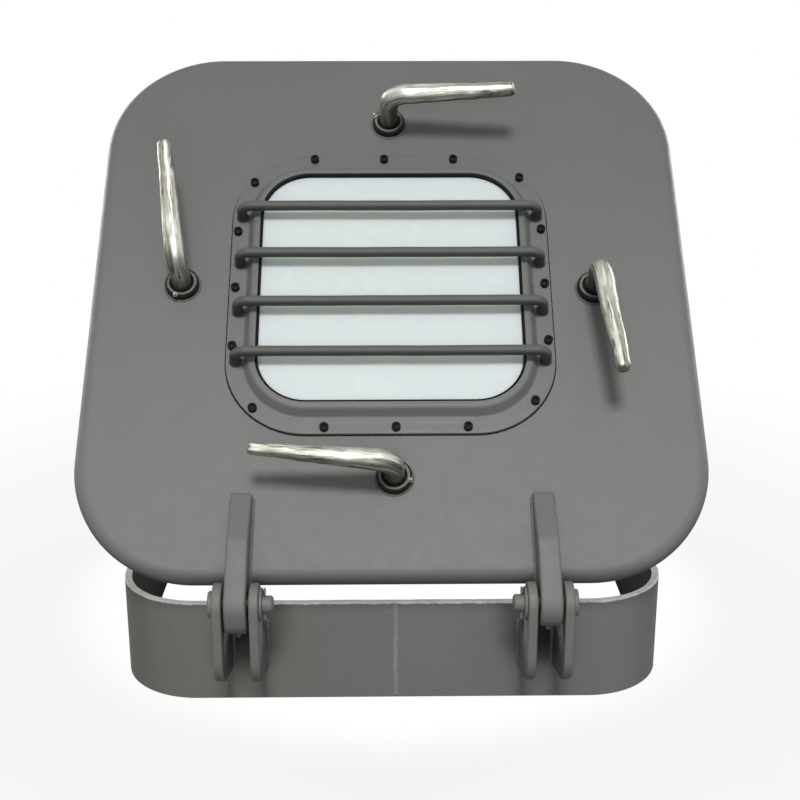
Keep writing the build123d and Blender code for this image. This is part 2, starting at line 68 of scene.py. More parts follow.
WINDOW_SHIFT = (-1.0, 3.3, 0.0)
SCREW_ROW = 180.0
SCREW_PITCH = {"far": 84.5, "right": 75.0, "near": 79.6, "left": 77.0}
SCREW_ROW_SHIFT = {"far": -6.5, "right": 3.0, "near": 5.5, "left": -1.0}
SCREW_CORNERS = ((1, 1, 42.5), (-1, 1, 143.0), (-1, -1, 226.0), (1, -1, 321.0))


# ---------------------------------------------------------------- sizes and colours that a user may change

class HatchSizes(bpy.types.PropertyGroup):
    lever_root: FloatProperty(
        name="Lever root", description="Diameter of a dog's lever at its bend", default=0.0238, unit="LENGTH")
    lever_tip: FloatProperty(
        name="Lever tip", description="Diameter of a dog's lever at its end", default=0.0160, unit="LENGTH")
    lever_unevenness: FloatProperty(
        name="Lever unevenness", description="How far the forged surface wanders from a true taper",
        default=0.0004, unit="LENGTH")
    guard_bar: FloatProperty(
        name="Guard bar", description="Diameter of the round bars over the window", default=0.012, unit="LENGTH")
    weld_leg: FloatProperty(
        name="Weld leg", description="Size of the fillet welds", default=0.0030, unit="LENGTH")
    weld_ripple: FloatProperty(
        name="Weld ripple", description="Spacing of the ripples along a weld", default=0.0032, unit="LENGTH")
    rim_waver: FloatProperty(
        name="Rim waver", description="Unevenness of the coaming's cut edge", default=0.00025, unit="LENGTH")
    round_steps: IntProperty(
        name="Round steps", description="Faces round a full circle of a small round piece", default=32, min=12)


class HatchFinishes(bpy.types.PropertyGroup):
    lid_paint: FloatVectorProperty(
        name="Lid paint", description="Grey of the lid's matt paint", subtype="COLOR", size=3,
        default=(0.153, 0.161, 0.151), min=0, max=1)
    # painted light: about the lid's grey lightened 1.34 times, a lit copy of the same paint for the coaming's upright
    # faces
    coaming_paint: FloatVectorProperty(
        name="Coaming paint", description="Grey of the coaming's matt paint", subtype="COLOR", size=3,
        default=(0.205, 0.212, 0.201), min=0, max=1)
    # partly a dark coating, partly painted shade: the inside of the coaming is made near black for the shade under
    # the lid
    inner_coating_and_shade: FloatVectorProperty(
        name="Inner coating", description="Dark coating inside the coaming", subtype="COLOR", size=3,
        default=(0.014, 0.0132, 0.0095), min=0, max=1)
    guard_paint: FloatVectorProperty(
        name="Guard paint", description="Grey of the guard bars' paint", subtype="COLOR", size=3,
        default=(0.124, 0.130, 0.123), min=0, max=1)
    lever_metal: FloatVectorProperty(
        name="Lever metal", description="Colour of the galvanised levers", subtype="COLOR", size=3,
        default=(0.46, 0.455, 0.39), min=0, max=1)
    rubber: FloatVectorProperty(
        name="Rubber", description="Colour of the seals", subtype="COLOR", size=3,
        default=(0.004, 0.004, 0.004), min=0, max=1)
    pane: FloatVectorProperty(
        name="Pane", description="Colour of the opal window pane", subtype="COLOR", size=3,
        default=(0.85, 0.94, 0.92), min=0, max=1)
    bronze: FloatVectorProperty(
        name="Bronze", description="Colour of the bushes", subtype="COLOR", size=3,
        default=(0.030, 0.021, 0.012), min=0, max=1)
    dust: FloatProperty(
        name="Dust", description="Strength of the pale specks on the paint", subtype="FACTOR",
        default=0.35, min=0, max=1)


# ---------------------------------------------------------------- surfaces

def wander(distance, size, seed):
    """A smooth unevenness: five sine waves of the distance, of falling height and seeded phase, added up."""
    phase = np.random.default_rng(seed).uniform(0, 2 * pi, 5)
    pitch = np.array([97.0, 41.0, 23.0, 11.3, 6.1])
    height = np.array([1.0, 0.6, 0.45, 0.25, 0.15])
    waves = np.sin(2 * pi * np.asarray(distance)[..., None] / pitch + phase)
    return size * (waves * height).sum(-1) / height.sum()


def square_track(corner_steps=18, side_steps=8):
    """The two parts of a rounded square: a line point is (half - radius) * corner + radius * direction,
    where corner runs along the sides of a unit square and direction turns a quarter at each of its corners."""
    quarter = np.arange(4) * pi / 2
    angle = quarter[:, None] + np.linspace(0, pi / 2, corner_steps + 1)
    arc_way = np.stack([np.cos(angle), np.sin(angle)], -1)
    corner = np.sign(np.stack([np.cos(quarter + pi / 4), np.sin(quarter + pi / 4)], -1))
    arc_corner = np.repeat(corner[:, None], corner_steps + 1, 1)
    share = np.linspace(0, 1, side_steps + 1)[1:-1, None]
    side_corner = corner[:, None] * (1 - share) + np.roll(corner, -1, 0)[:, None] * share
    side_way = np.repeat(arc_way[:, -1:], side_steps - 1, 1)
    corners = np.concatenate([arc_corner, side_corner], 1).reshape(-1, 2)
    ways = np.concatenate([arc_way, side_way], 1).reshape(-1, 2)
    return corners, ways


def square_rings(profile, corner_steps=18, side_steps=8):
    """Rounded squares for the rows (half, radius, height) of a profile, each by the rule of square_track."""
    half, radius, height = np.asarray(profile, float).T
    corners, ways = square_track(corner_steps, side_steps)
    flat = (half - radius)[:, None, None] * corners + radius[:, None, None] * ways
    tall = np.broadcast_to(height[:, None, None], flat.shape[:2] + (1,))
    return np.concatenate([flat, tall], -1)


def window_rings(profile):
    """Rounded squares round the window for rows (half, height): all share the corner centres of its core."""
    half, height = np.asarray(profile, float).T
    return square_rings(np.stack([half, half - WINDOW_CORE, height], -1), 14, 8)


def turned_rings(profile, steps):
    """A profile of rows (radius, height) turned about the Z axis: (r cos a, r sin a, h)."""
    radius, height = np.asarray(profile, float).T
    angle = np.arange(steps) * 2 * pi / steps
    ring = np.stack([np.cos(angle), np.sin(angle)], -1)
    flat = radius[:, None, None] * ring
    tall = np.broadcast_to(height[:, None, None], flat.shape[:2] + (1,))
    return np.concatenate([flat, tall], -1)


def sided_ring(reach, sides, rounding, steps):
    """One ring of a regular polygon, as radius by angle: reach / cos(angle from the nearest flat's middle),
    held under reach * rounding where a corner would stand out."""
    angle = np.arange(steps) * 2 * pi / steps
    off = (angle + pi / sides) % (2 * pi / sides) - pi / sides
    radius = np.minimum(reach / np.cos(off), reach * rounding)
    return np.stack([radius * np.cos(angle), radius * np.sin(angle)], -1)


def at_height(ring, height):
    """A flat ring lifted to one height."""
    return np.concatenate([ring, np.full((len(ring), 1), float(height))], -1)


def tube_rings(path, radius, normal, steps=16, flat=1.0):
    """A round section carried along a path: path(s) + radius(s) * (cos a * side + flat * sin a * normal),
    where side stands square to the path and to the given normal."""
    path = np.asarray(path, float)
    radius = np.broadcast_to(np.asarray(radius, float), path.shape[:1])
    tangent = np.gradient(path, axis=0)
    tangent /= np.linalg.norm(tangent, axis=1, keepdims=True)
    up = np.broadcast_to(np.asarray(normal, float), path.shape)
    side = np.cross(tangent, up)
    side /= np.linalg.norm(side, axis=1, keepdims=True)
    up = np.cross(side, tangent)
    angle = np.arange(steps) * 2 * pi / steps
    spread = np.cos(angle)[None, :, None] * side[:, None] + flat * np.sin(angle)[None, :, None] * up[:, None]
    return path[:, None] + radius[:, None, None] * spread


def bent_line(corners, radii, arc_steps=10, run_steps=6):
    """A line through corner points, each rounded by its radius: straight runs and arcs as dense points."""
    corners = [np.asarray(c, float) for c in corners]
    parts = []
    start = corners[0]
    for before, corner, after, radius in zip(corners, corners[1:], corners[2:], radii):
        back = (before - corner) / np.linalg.norm(before - corner)
        on = (after - corner) / np.linalg.norm(after - corner)
        half = np.arccos(np.clip(back @ on, -1, 1)) / 2
        reach = radius / np.tan(half)
        centre = corner + (back + on) / np.linalg.norm(back + on) * radius / np.sin(half)
        first = corner + back * reach - centre
        last = corner + on * reach - centre
        share = np.linspace(0, 1, arc_steps + 1)[:, None]
        swing = pi - 2 * half
        arc = (np.sin((1 - share) * swing) * first + np.sin(share * swing) * last) / np.sin(swing)
        run = start + np.linspace(0, 1, run_steps, endpoint=False)[:, None] * (centre + first - start)
        parts += [run, centre + arc]
        start = centre + last
    parts.append(start + np.linspace(0, 1, run_steps + 1)[1:, None] * (corners[-1] - start))
    return np.concatenate(parts)


def outline(corners, radii, arc_steps=8):
    """A closed flat line through corner points, each rounded by its radius, or kept sharp at radius 0."""
    points = np.asarray(corners, float)
    parts = []
    for corner, before, after, radius in zip(points, np.roll(points, 1, 0), np.roll(points, -1, 0), radii):
        if radius == 0:
            parts.append(corner[None])
            continue
        back = (before - corner) / np.linalg.norm(before - corner)
        on = (after - corner) / np.linalg.norm(after - corner)
        half = np.arccos(np.clip(back @ on, -1, 1)) / 2
        centre = corner + (back + on) / np.linalg.norm(back + on) * radius / np.sin(half)
        first = corner + back * radius / np.tan(half) - centre
        last = corner + on * radius / np.tan(half) - centre
        swing = pi - 2 * half
        share = np.linspace(0, 1, arc_steps + 1)[:, None]
        parts.append(centre + (np.sin((1 - share) * swing) * first + np.sin(share * swing) * last) / np.sin(swing))
    return np.concatenate(parts)


def inset(line, distance):
    """A closed flat line moved inwards: each point goes along the mean of its two edges' normals,
    lengthened by 1 / (1 + n1.n2) * 2 so that both edges move by the distance."""
    edge = np.roll(line, -1, 0) - line
    edge /= np.linalg.norm(edge, axis=1, keepdims=True)
    normal = np.stack([-edge[:, 1], edge[:, 0]], -1)
    before = np.roll(normal, 1, 0)
    share = 1 + (normal * before).sum(1, keepdims=True)
    return line + distance * (normal + before) / np.maximum(share, 0.5)


def plate_rings(line, low, high, rounding, steps=4):
    """The rim of a plate cut to an anticlockwise flat line, between two values of the third axis, its edges
    rounded: inset r(1 - sin a) at depth r(1 - cos a) for a quarter turn at each face."""
    angle = np.linspace(0, pi / 2, steps + 1)
    depth = rounding * (1 - np.cos(angle))
    move = rounding * (1 - np.sin(angle))
    rows = [(m, low + d) for m, d in zip(move, depth)] + [(m, high - d) for m, d in zip(move[::-1], depth[::-1])]
    return np.stack([np.concatenate([inset(line, m), np.full((len(line), 1), z)], -1) for m, z in rows])


class Shell:
    """Arrays of points and faces gathered for one piece."""

    def __init__(self):
        self.points = []
        self.faces = []
        self.count = 0
        self.grain = None

    def add(self, points):
        start = self.count
        self.points.append(points)
        self.count += len(points)
        return start

    def skin(self, rings, closed=False, first=False, last=False):
        """Joins neighbouring rings with four-sided faces, and closes the first or last ring with one face."""
        rows, around = rings.shape[:2]
        start = self.add(rings.reshape(-1, 3))
        index = start + np.arange(rows * around).reshape(rows, around)
        if first:
            self.faces.append(index[:1, ::-1])
        if last:
            self.faces.append(index[-1:])
        if closed:
            index = np.vstack([index, index[:1]])
        low, high = index[:-1], index[1:]
        quads = np.stack([low, np.roll(low, -1, 1), np.roll(high, -1, 1), high], -1)
        self.faces.append(quads.reshape(-1, 4))

    def patch(self, outer, holes=()):
        """Fills a flat line with triangles, round any number of holes."""
        lines = [outer, *holes]
        spread = np.ptp(outer, axis=0)
        keep = np.sort(np.argsort(spread)[-2:])
        flat = [[Vector((*p, 0.0)) for p in line[:, keep].tolist()] for line in lines]
        start = self.add(np.concatenate(lines))
        self.faces.append(start + np.array(tessellate_polygon(flat), int))

    def remember(self, grain=None):
        """Keeps the points as they are now, or a straightened form of them, as the pattern's own coordinates."""
        self.grain = np.concatenate(self.points) if grain is None else grain

    def moved(self, change):
        """Passes all points so far through a function of an array of points."""
        self.points = [change(np.concatenate(self.points))]
        return self


def mesh_from(name, shell, crease):
    """Fills a mesh from a shell's arrays, joins doubled points, turns faces outwards and marks sharp edges."""
    points = np.concatenate(shell.points) * 0.001
    loops = np.concatenate([f.reshape(-1) for f in shell.faces]).astype(np.int32)
    sizes = np.concatenate([np.full(len(f), f.shape[1]) for f in shell.faces])
    starts = np.concatenate([[0], np.cumsum(sizes)[:-1]]).astype(np.int32)
    mesh = bpy.data.meshes.new(name)
    mesh.vertices.add(len(points))
    mesh.vertices.foreach_set("co", points.astype(np.float32).reshape(-1))
    mesh.loops.add(len(loops))
    mesh.loops.foreach_set("vertex_index", loops)
    mesh.polygons.add(len(starts))
    mesh.polygons.foreach_set("loop_start", starts)
    if shell.grain is not None:
        layer = mesh.attributes.new("grain", "FLOAT_VECTOR", "POINT")
        layer.data.foreach_set("vector", (shell.grain * 0.001).astype(np.float32).reshape(-1))
    mesh.update(calc_edges=True)
    work = bmesh.new()
    work.from_mesh(mesh)
    bmesh.ops.remove_doubles(work, verts=work.verts, dist=1e-6)
    bmesh.ops.dissolve_degenerate(work, edges=work.edges, dist=1e-7)
    bmesh.ops.recalc_face_normals(work, faces=work.faces)
    work.to_mesh(mesh)
    work.free()
    mesh.polygons.foreach_set("use_smooth", np.ones(len(mesh.polygons), bool))
    mesh.set_sharp_from_angle(angle=radians(crease))
    return mesh


def make_piece(name, shell, finish, body, nodes=(), crease=32.0):
    """Makes one object of the hatch from a shell, with its finish and the body that it rides on."""
    piece = bpy.data.objects.new(name, mesh_from(name, shell, crease))
    bpy.context.scene.collection.objects.link(piece)
    piece.data.materials.append(finish)
    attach(piece, body)
    if nodes:
        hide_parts(*nodes)
    return piece


def second_finish(piece, finish, rule):
    """Gives a second finish to the faces that a rule on arrays of their centres and normals picks."""
    mesh = piece.data
    centres, normals = np.empty((2, len(mesh.polygons) * 3), np.float32)
    mesh.polygons.foreach_get("center", centres)
    mesh.polygons.foreach_get("normal", normals)
    mesh.materials.append(finish)
    mesh.polygons.foreach_set("material_index", rule(centres.reshape(-1, 3), normals.reshape(-1, 3)).astype(np.int32))
    mesh.update()


def dress(node, finish):
    """Gives a CAD node that stays in view its finish."""
    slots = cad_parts[node].material_slots
    if not slots:
        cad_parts[node].data.materials.append(finish)
    for slot in slots:
        slot.material = finish


def on_lid(points):
    """Takes points of the shut lid, with heights from its face, about the hinge line to the rest angle."""
    x, y, z = np.moveaxis(np.asarray(points, float), -1, 0)
    y, z = y - HINGE_Y, z + LID_FACE - HINGE_Z
    c, s = cos(REST_ANGLE), sin(REST_ANGLE)
    return np.stack([x, HINGE_Y + c * y - s * z, HINGE_Z + s * y + c * z], -1)


def on_window(points):
    """on_lid for points that are drawn about the window's own middle."""
    return on_lid(np.asarray(points, float) + WINDOW_SHIFT)


def shut_frame(points):
    """The same turn for points whose heights are measured from the deck."""
    return on_lid(np.asarray(points, float) - (0, 0, LID_FACE))


def placed(points, origin, x_way, y_way, z_way):
    """origin + x * x_way + y * y_way + z * z_way for every point."""
    return np.asarray(origin, float) + np.asarray(points, float) @ np.array([x_way, y_way, z_way], float)


def at_dog(name, turn):
    """A function that turns points about a dog's spindle, anticlockwise by degrees, and puts them on the lid."""
    a = radians(turn)
    centre = (*DOG_CENTRE[name], 0)
    return lambda points: on_lid(placed(points, centre, (cos(a), sin(a), 0), (-sin(a), cos(a), 0), (0, 0, 1)))


def weld(shell, path, normal, leg, ripple, seed, closed=False, flat=0.8):
    """A weld bead along a path: a low round section whose radius ripples along the path and wanders a little."""
    path = np.asarray(path, float)
    step = np.linalg.norm(np.diff(path, axis=0), axis=1)
    run = np.concatenate([[0], np.cumsum(step)])
    count = max(int(run[-1] / ripple * 4), 8)
    along = np.linspace(0, run[-1], count, endpoint=not closed)
    line = np.stack([np.interp(along, run, path[:, i]) for i in range(3)], -1)
    radius = leg * (1 + 0.10 * np.sin(2 * pi * along / ripple)) + wander(along, leg * 0.10, seed)
    if closed:
        rings = tube_rings(np.concatenate([line[-1:], line, line[:1]]), leg, normal, 10, flat)[1:-1]
        centre = line[:, None]
        rings = centre + (rings - centre) * (radius / leg)[:, None, None]
        shell.skin(rings, closed=True)
        return
    radius[[0, -1]] *= 0.35
    radius[[1, -2]] *= 0.8
    shell.skin(tube_rings(line, radius, normal, 10, flat), first=True, last=True)


def circle(radius, centre=(0, 0), height=0.0, steps=32):
    """A circle as an array of points."""
    angle = np.arange(steps) * 2 * pi / steps
    return np.stack([centre[0] + radius * np.cos(angle), centre[1] + radius * np.sin(angle),
                     np.full(steps, float(height))], -1)


def screw_places():
    """The window screws' places about its middle: one on each corner's arc, three along each side."""
    reach = SCREW_ROW - WINDOW_CORE
    places = [(sx * WINDOW_CORE + reach * cos(radians(a)), sy * WINDOW_CORE + reach * sin(radians(a)))
              for sx, sy, a in SCREW_CORNERS]
    for step in (-1, 0, 1):
        for name, side in (("far", 1), ("near", -1)):
            places.append((step * SCREW_PITCH[name] + SCREW_ROW_SHIFT[name], side * SCREW_ROW))
        for name, side in (("right", 1), ("left", -1)):
            places.append((side * SCREW_ROW, step * SCREW_PITCH[name] + SCREW_ROW_SHIFT[name]))
    return places


# ---------------------------------------------------------------- finishes

class Recipe:
    """Wires the nodes of one material round a Principled shader, with patterns on Object coordinates."""

    def __init__(self, name, attribute=None):
        self.material = bpy.data.materials.new(name)
        self.material.use_nodes = True
        self.tree = self.material.node_tree
        self.tree.nodes.clear()
        self.shader = self.add("ShaderNodeBsdfPrincipled")
        self.output = self.add("ShaderNodeOutputMaterial")
        self.tree.links.new(self.shader.outputs["BSDF"], self.output.inputs["Surface"])
        if attribute:
            self.place = self.add("ShaderNodeAttribute", {"attribute_name": attribute}).outputs["Vector"]
        else:
            self.place = self.add("ShaderNodeTexCoord").outputs["Object"]

    def add(self, kind, settings=None, **inputs):
        node = self.tree.nodes.new(kind)
        for key, value in (settings or {}).items():
            setattr(node, key, value)
        for key, value in inputs.items():
            self.feed(node.inputs[key.replace("_", " ")], value)
        return node

    def feed(self, socket, value):
        if isinstance(value, bpy.types.NodeSocket):
            self.tree.links.new(value, socket)
        elif value is not None:
            if socket.type == "RGBA" and len(value) == 3:
                value = (*value, 1.0)
            socket.default_value = value

    def stretched(self, scale):
        node = self.add("ShaderNodeMapping")
        self.feed(node.inputs["Vector"], self.place)
        node.inputs["Scale"].default_value = scale
        return node.outputs["Vector"]

    def noise(self, scale, detail=3.0, roughness=0.5, vector=None, distortion=0.0):
        node = self.add("ShaderNodeTexNoise", Scale=scale, Detail=detail, Roughness=roughness,
                        Distortion=distortion)
        self.feed(node.inputs["Vector"], vector or self.place)
        return node.outputs["Fac"]

    def cells(self, scale, randomness=1.0, vector=None):
        node = self.add("ShaderNodeTexVoronoi", Scale=scale, Randomness=randomness)
        self.feed(node.inputs["Vector"], vector or self.place)
        grey = self.add("ShaderNodeSeparateColor")
        self.feed(grey.inputs["Color"], node.outputs["Color"])
        return grey.outputs["Red"], node.outputs["Distance"]

    def axis(self, name):
        node = self.add("ShaderNodeSeparateXYZ")
        self.feed(node.inputs["Vector"], self.place)
        return node.outputs[name]

    def level(self, source, low, high, out_low=0.0, out_high=1.0):
        node = self.add("ShaderNodeMapRange", {"interpolation_type": "SMOOTHSTEP"})
        self.feed(node.inputs["Value"], source)
        for socket, value in zip(("From Min", "From Max", "To Min", "To Max"), (low, high, out_low, out_high)):
            node.inputs[socket].default_value = value
        return node.outputs["Result"]

    def maths(self, kind, a, b):
        node = self.add("ShaderNodeMath", {"operation": kind})
        self.feed(node.inputs[0], a)
        self.feed(node.inputs[1], b)
        return node.outputs[0]

    def mix(self, factor, a, b, kind="MIX"):
        node = self.add("ShaderNodeMix", {"data_type": "RGBA", "blend_type": kind})
        self.feed(node.inputs["Factor"], factor)
        self.feed(node.inputs[6], a)
        self.feed(node.inputs[7], b)
        return node.outputs[2]

    def bump(self, height, distance, strength=1.0):
        node = self.add("ShaderNodeBump", Strength=strength, Distance=distance)
        self.feed(node.inputs["Height"], height)
        self.feed(self.shader.inputs["Normal"], node.outputs["Normal"])

    def set(self, colour, roughness, metallic=0.0, **others):
        self.feed(self.shader.inputs["Base Color"], colour)
        self.feed(self.shader.inputs["Roughness"], roughness)
        self.feed(self.shader.inputs["Metallic"], metallic)
        for key, value in others.items():
            self.feed(self.shader.inputs[key.replace("_", " ")], value)
        return self.material


def shade(colour, share):
    """A colour made darker or lighter by a share."""
    return tuple(min(c * share, 1.0) for c in colour)


def matt_paint(name, colour, dust, warm=0.0, painted_low_light=0.0):
    """Matt deck paint over steel: broad unevenness, fine pale and dark specks, an orange-peel surface, a paler tone
    low down that is painted light, and painted shade under the lowest rim."""
    r = Recipe(name)
    broad = r.level(r.noise(5.5, 4, 0.55), 0.3, 0.7)
    tone = r.mix(broad, shade(colour, 0.965), shade(colour, 1.035))
    if painted_low_light:
        low = r.axis("Z")
        # painted light: the paint is lightened up to 1.28 times towards the lid's low end
        tone = r.mix(r.level(low, 0.25, 0.66, painted_low_light, 0.0), tone, shade(colour, 1.28))
        # painted shade: darker on the lowest rim by the hinges, where it turns down away from the light
        tone = r.mix(r.level(low, 0.153, 0.182, 0.80, 0.0), tone, shade(colour, 0.60))
    if warm:
        brown = (colour[0] * 0.96, colour[1] * 0.88, colour[2] * 0.82)
        tone = r.mix(r.level(r.noise(3.2, 3, 0.6), 0.42, 0.66, 0.0, warm), tone, brown)
    specks = r.level(r.noise(620, 2, 0.6), 0.60, 0.72, 0.0, dust)
    tone = r.mix(specks, tone, shade(colour, 1.5))
    flecks = r.level(r.noise(240, 2, 0.7), 0.66, 0.74, 0.0, 0.30)
    tone = r.mix(flecks, tone, shade(colour, 0.55))
    rough = r.level(r.noise(60, 3), 0.3, 0.7, 0.50, 0.56)
    peel = r.maths("ADD", r.noise(330, 3, 0.6), r.maths("MULTIPLY", r.noise(1500, 2), 0.35))
    r.bump(peel, 0.00007, 0.7)
    return r.set(tone, rough, Specular_IOR_Level=0.36)


def guard_finish(colour, dust):
    """Matt paint on the guard bars, with painted shade on the side of each that faces the hinges and at its feet."""
    r = Recipe("guard_paint_matt", "grain")
    place = r.add("ShaderNodeSeparateXYZ")
    r.feed(place.inputs["Vector"], r.place)
    ragged = r.maths("MULTIPLY", r.maths("SUBTRACT", r.noise(240, 3, 0.6), 0.5), 0.0022)
    broad = r.level(r.noise(9, 4, 0.55), 0.3, 0.7)
    tone = r.mix(broad, shade(colour, 0.94), shade(colour, 1.06))
    # painted shade: darker on the side of each bar that faces the hinges
    low_side = r.level(r.maths("ADD", place.outputs["Y"], ragged), -0.0058, -0.0014, 0.85, 0.0)
    tone = r.mix(low_side, tone, shade(colour, 0.30))
    # painted shade: darker at each bar's bent feet, near the ring
    foot = r.level(r.maths("ADD", place.outputs["Z"], ragged), 0.0060, 0.0150, 0.70, 0.0)
    tone = r.mix(foot, tone, shade(colour, 0.40))
    tone = r.mix(r.level(r.noise(620, 2, 0.6), 0.60, 0.72, 0.0, dust), tone, shade(colour, 1.5))
    r.bump(r.maths("ADD", r.noise(330, 3, 0.6), r.maths("MULTIPLY", r.noise(1500, 2), 0.35)), 0.00007, 0.7)
    return r.set(tone, r.level(r.noise(60, 3), 0.3, 0.7, 0.50, 0.58), Specular_IOR_Level=0.3)


def coaming_finish(colour, dust):
    """The coaming's paint, browner towards its left, bluer and darker towards the middle right in part as painted
    shade, lighter at its right end as painted light, with its cut top edge worn bare and dusty and lightened further
    as a painted highlight, and painted shade, nearly black, between the hinge lugs and fainter beside them."""
    r = Recipe("coaming_paint_worn_and_shaded")
    x, z = r.axis("X"), r.axis("Z")
    broad = r.level(r.noise(4.5, 4, 0.6), 0.3, 0.7)
    tone = r.mix(broad, shade(colour, 0.95), shade(colour, 1.05))
    brown = (colour[0] * 0.97, colour[1] * 0.92, colour[2] * 0.87)
    tone = r.mix(r.level(x, -0.25, 0.02, 0.9, 0.0), tone, brown)
    # bluer paint towards the middle right, its darkening in part painted shade
    blue_and_shade = (colour[0] * 0.86, colour[1] * 0.90, colour[2] * 0.94)
    tone = r.mix(r.level(x, 0.02, 0.16, 0.0, 0.8), tone, blue_and_shade)
    # painted light: lighter towards the coaming's right end
    tone = r.mix(r.level(x, 0.18, 0.29, 0.0, 0.9), tone, shade(colour, 1.12))
    flecks = r.level(r.noise(210, 3, 0.7), 0.62, 0.72, 0.0, 0.35)
    tone = r.mix(flecks, tone, shade(colour, 0.5))
    specks = r.level(r.noise(560, 2, 0.6), 0.60, 0.72, 0.0, dust)
    tone = r.mix(specks, tone, shade(colour, 1.6))
    # painted shade: nearly black on the coaming's front between the hinge lugs and fainter beside them, below the
    # arms
    reach = r.maths("ABSOLUTE", x, None)
    front = r.level(r.axis("Y"), -0.3070, -0.3040, 1.0, 0.0)
    ragged = r.maths("ADD", z, r.maths("MULTIPLY", r.maths("SUBTRACT", r.noise(26, 3, 0.6), 0.5), 0.05))
    between = r.maths("MULTIPLY", r.level(reach, 0.143, 0.149), r.level(reach, 0.175, 0.181, 1.0, 0.0))
    between = r.maths("MULTIPLY", between, r.level(ragged, 0.028, 0.082, 0.0, 0.96))
    beside = r.maths("MULTIPLY", r.level(reach, 0.100, 0.134), r.level(reach, 0.138, 0.143, 1.0, 0.0))
    beside = r.maths("MULTIPLY", beside, r.level(ragged, 0.040, 0.100, 0.0, 0.50))
    tone = r.mix(r.maths("MULTIPLY", r.maths("ADD", between, beside), front), tone, (0.010, 0.010, 0.009))
    # the cut top edge is worn bare, and lightened to near white as a painted highlight
    ragged = r.maths("ADD", z, r.maths("MULTIPLY", r.maths("SUBTRACT", r.noise(90, 4, 0.7), 0.5), 0.0035))
    rim = r.level(ragged, 0.1139, 0.1151)
    bare_and_highlight = r.mix(r.level(r.noise(45, 4, 0.7), 0.35, 0.60), (0.78, 0.77, 0.73), (0.96, 0.96, 0.94))
    tone = r.mix(rim, tone, bare_and_highlight)
    rough = r.level(r.noise(60, 3), 0.3, 0.7, 0.48, 0.62)
    peel = r.maths("ADD", r.noise(300, 3, 0.6), r.maths("MULTIPLY", r.noise(1500, 2), 0.35))
    r.bump(peel, 0.00010, 0.8)
    return r.set(tone, rough, Specular_IOR_Level=0.40)


def galvanised(name, colour, attribute=None):
    """Zinc on a forging, ground lengthwise: long bright and dull olive streaks, small crystals, dark grime
    low on the spindle and on the worn end, and painted shade along the lever's side towards the lid. The pattern runs
    on the lever's own straightened coordinates."""
    r = Recipe(name, attribute)
    along = r.stretched((1.0, 1.0, 0.09) if attribute else (0.4, 0.4, 1.0))
    tone = r.mix(r.noise(70, 2), shade(colour, 0.93), shade(colour, 1.07))
    dull = r.level(r.noise(115, 3, 0.6, along, 0.4), 0.41, 0.55, 0.0, 0.85)
    tone = r.mix(dull, tone, (0.24, 0.24, 0.18))
    bright = r.level(r.noise(200, 3, 0.6, along), 0.50, 0.60, 0.0, 0.62)
    tone = r.mix(bright, tone, (0.88, 0.88, 0.84))
    scored = r.level(r.noise(270, 3, 0.65, along, 0.6), 0.57, 0.64, 0.0, 0.80)
    tone = r.mix(scored, tone, (0.075, 0.075, 0.058))
    if attribute:
        run = r.axis("Z")
        grime = r.maths("ADD", run, r.maths("MULTIPLY", r.noise(160, 3, 0.6), 0.004))
        ragged = r.maths("MULTIPLY", r.maths("SUBTRACT", r.noise(90, 3, 0.6, along), 0.5), 0.008)
        # painted shade: darker along the side of the lever's section that faces the lid
        under = r.level(r.maths("ADD", r.axis("X"), ragged), -0.0015, 0.0065, 0.0, 0.88)
        tone = r.mix(under, tone, (0.085, 0.085, 0.062))
        blotch = r.level(r.noise(230, 3, 0.6), 0.42, 0.58, 0.15, 0.9)
        worn = r.maths("MULTIPLY", r.level(grime, 0.1775, 0.1810), blotch)
        tone = r.mix(worn, tone, (0.060, 0.055, 0.045))
        tone = r.mix(r.level(grime, 0.000, 0.030, 0.55, 0.0), tone, (0.11, 0.11, 0.095))
    rough = r.maths("ADD", r.level(bright, 0.0, 1.0, 0.40, 0.32), r.maths("MULTIPLY", dull, 0.14))
    r.bump(r.noise(170, 3, 0.6, along), 0.0011, 0.9)
    return r.set(tone, rough, 0.90)


def bush_finish(paint):
    """A dog's bush, grimed nearly black, with paint left on the flat of its mouth, lightened as a painted highlight,
    and on its weld.
    """
    r = Recipe("bush_grimed_paint", "grain")
    place = r.add("ShaderNodeSeparateXYZ")
    r.feed(place.inputs["Vector"], r.place)
    x, y, z = place.outputs["X"], place.outputs["Y"], place.outputs["Z"]
    reach = r.maths("SQRT", r.maths("ADD", r.maths("MULTIPLY", x, x), r.maths("MULTIPLY", y, y)), None)
    wobble = r.maths("MULTIPLY", r.maths("SUBTRACT", r.noise(260, 3, 0.6), 0.5), 0.0016)
    reach = r.maths("ADD", reach, wobble)
    grime = r.mix(r.level(r.noise(300, 3, 0.6), 0.4, 0.7), (0.006, 0.006, 0.005), (0.026, 0.025, 0.022))
    # paint on the mouth's flat, lightened 1.15 times as a painted highlight
    mouth = r.maths("MULTIPLY", r.level(reach, 0.0166, 0.0176, 1.0, 0.0), r.level(z, 0.0092, 0.0098))
    tone = r.mix(mouth, grime, shade(paint, 1.15))
    foot = r.maths("MULTIPLY", r.level(reach, 0.0192, 0.0200), r.level(z, 0.0018, 0.0034, 1.0, 0.0))
    tone = r.mix(foot, tone, shade(paint, 0.85))
    r.bump(r.noise(700, 3, 0.6), 0.00008, 0.7)
    return r.set(tone, r.level(r.noise(120, 3), 0.3, 0.7, 0.50, 0.65), Specular_IOR_Level=0.2)


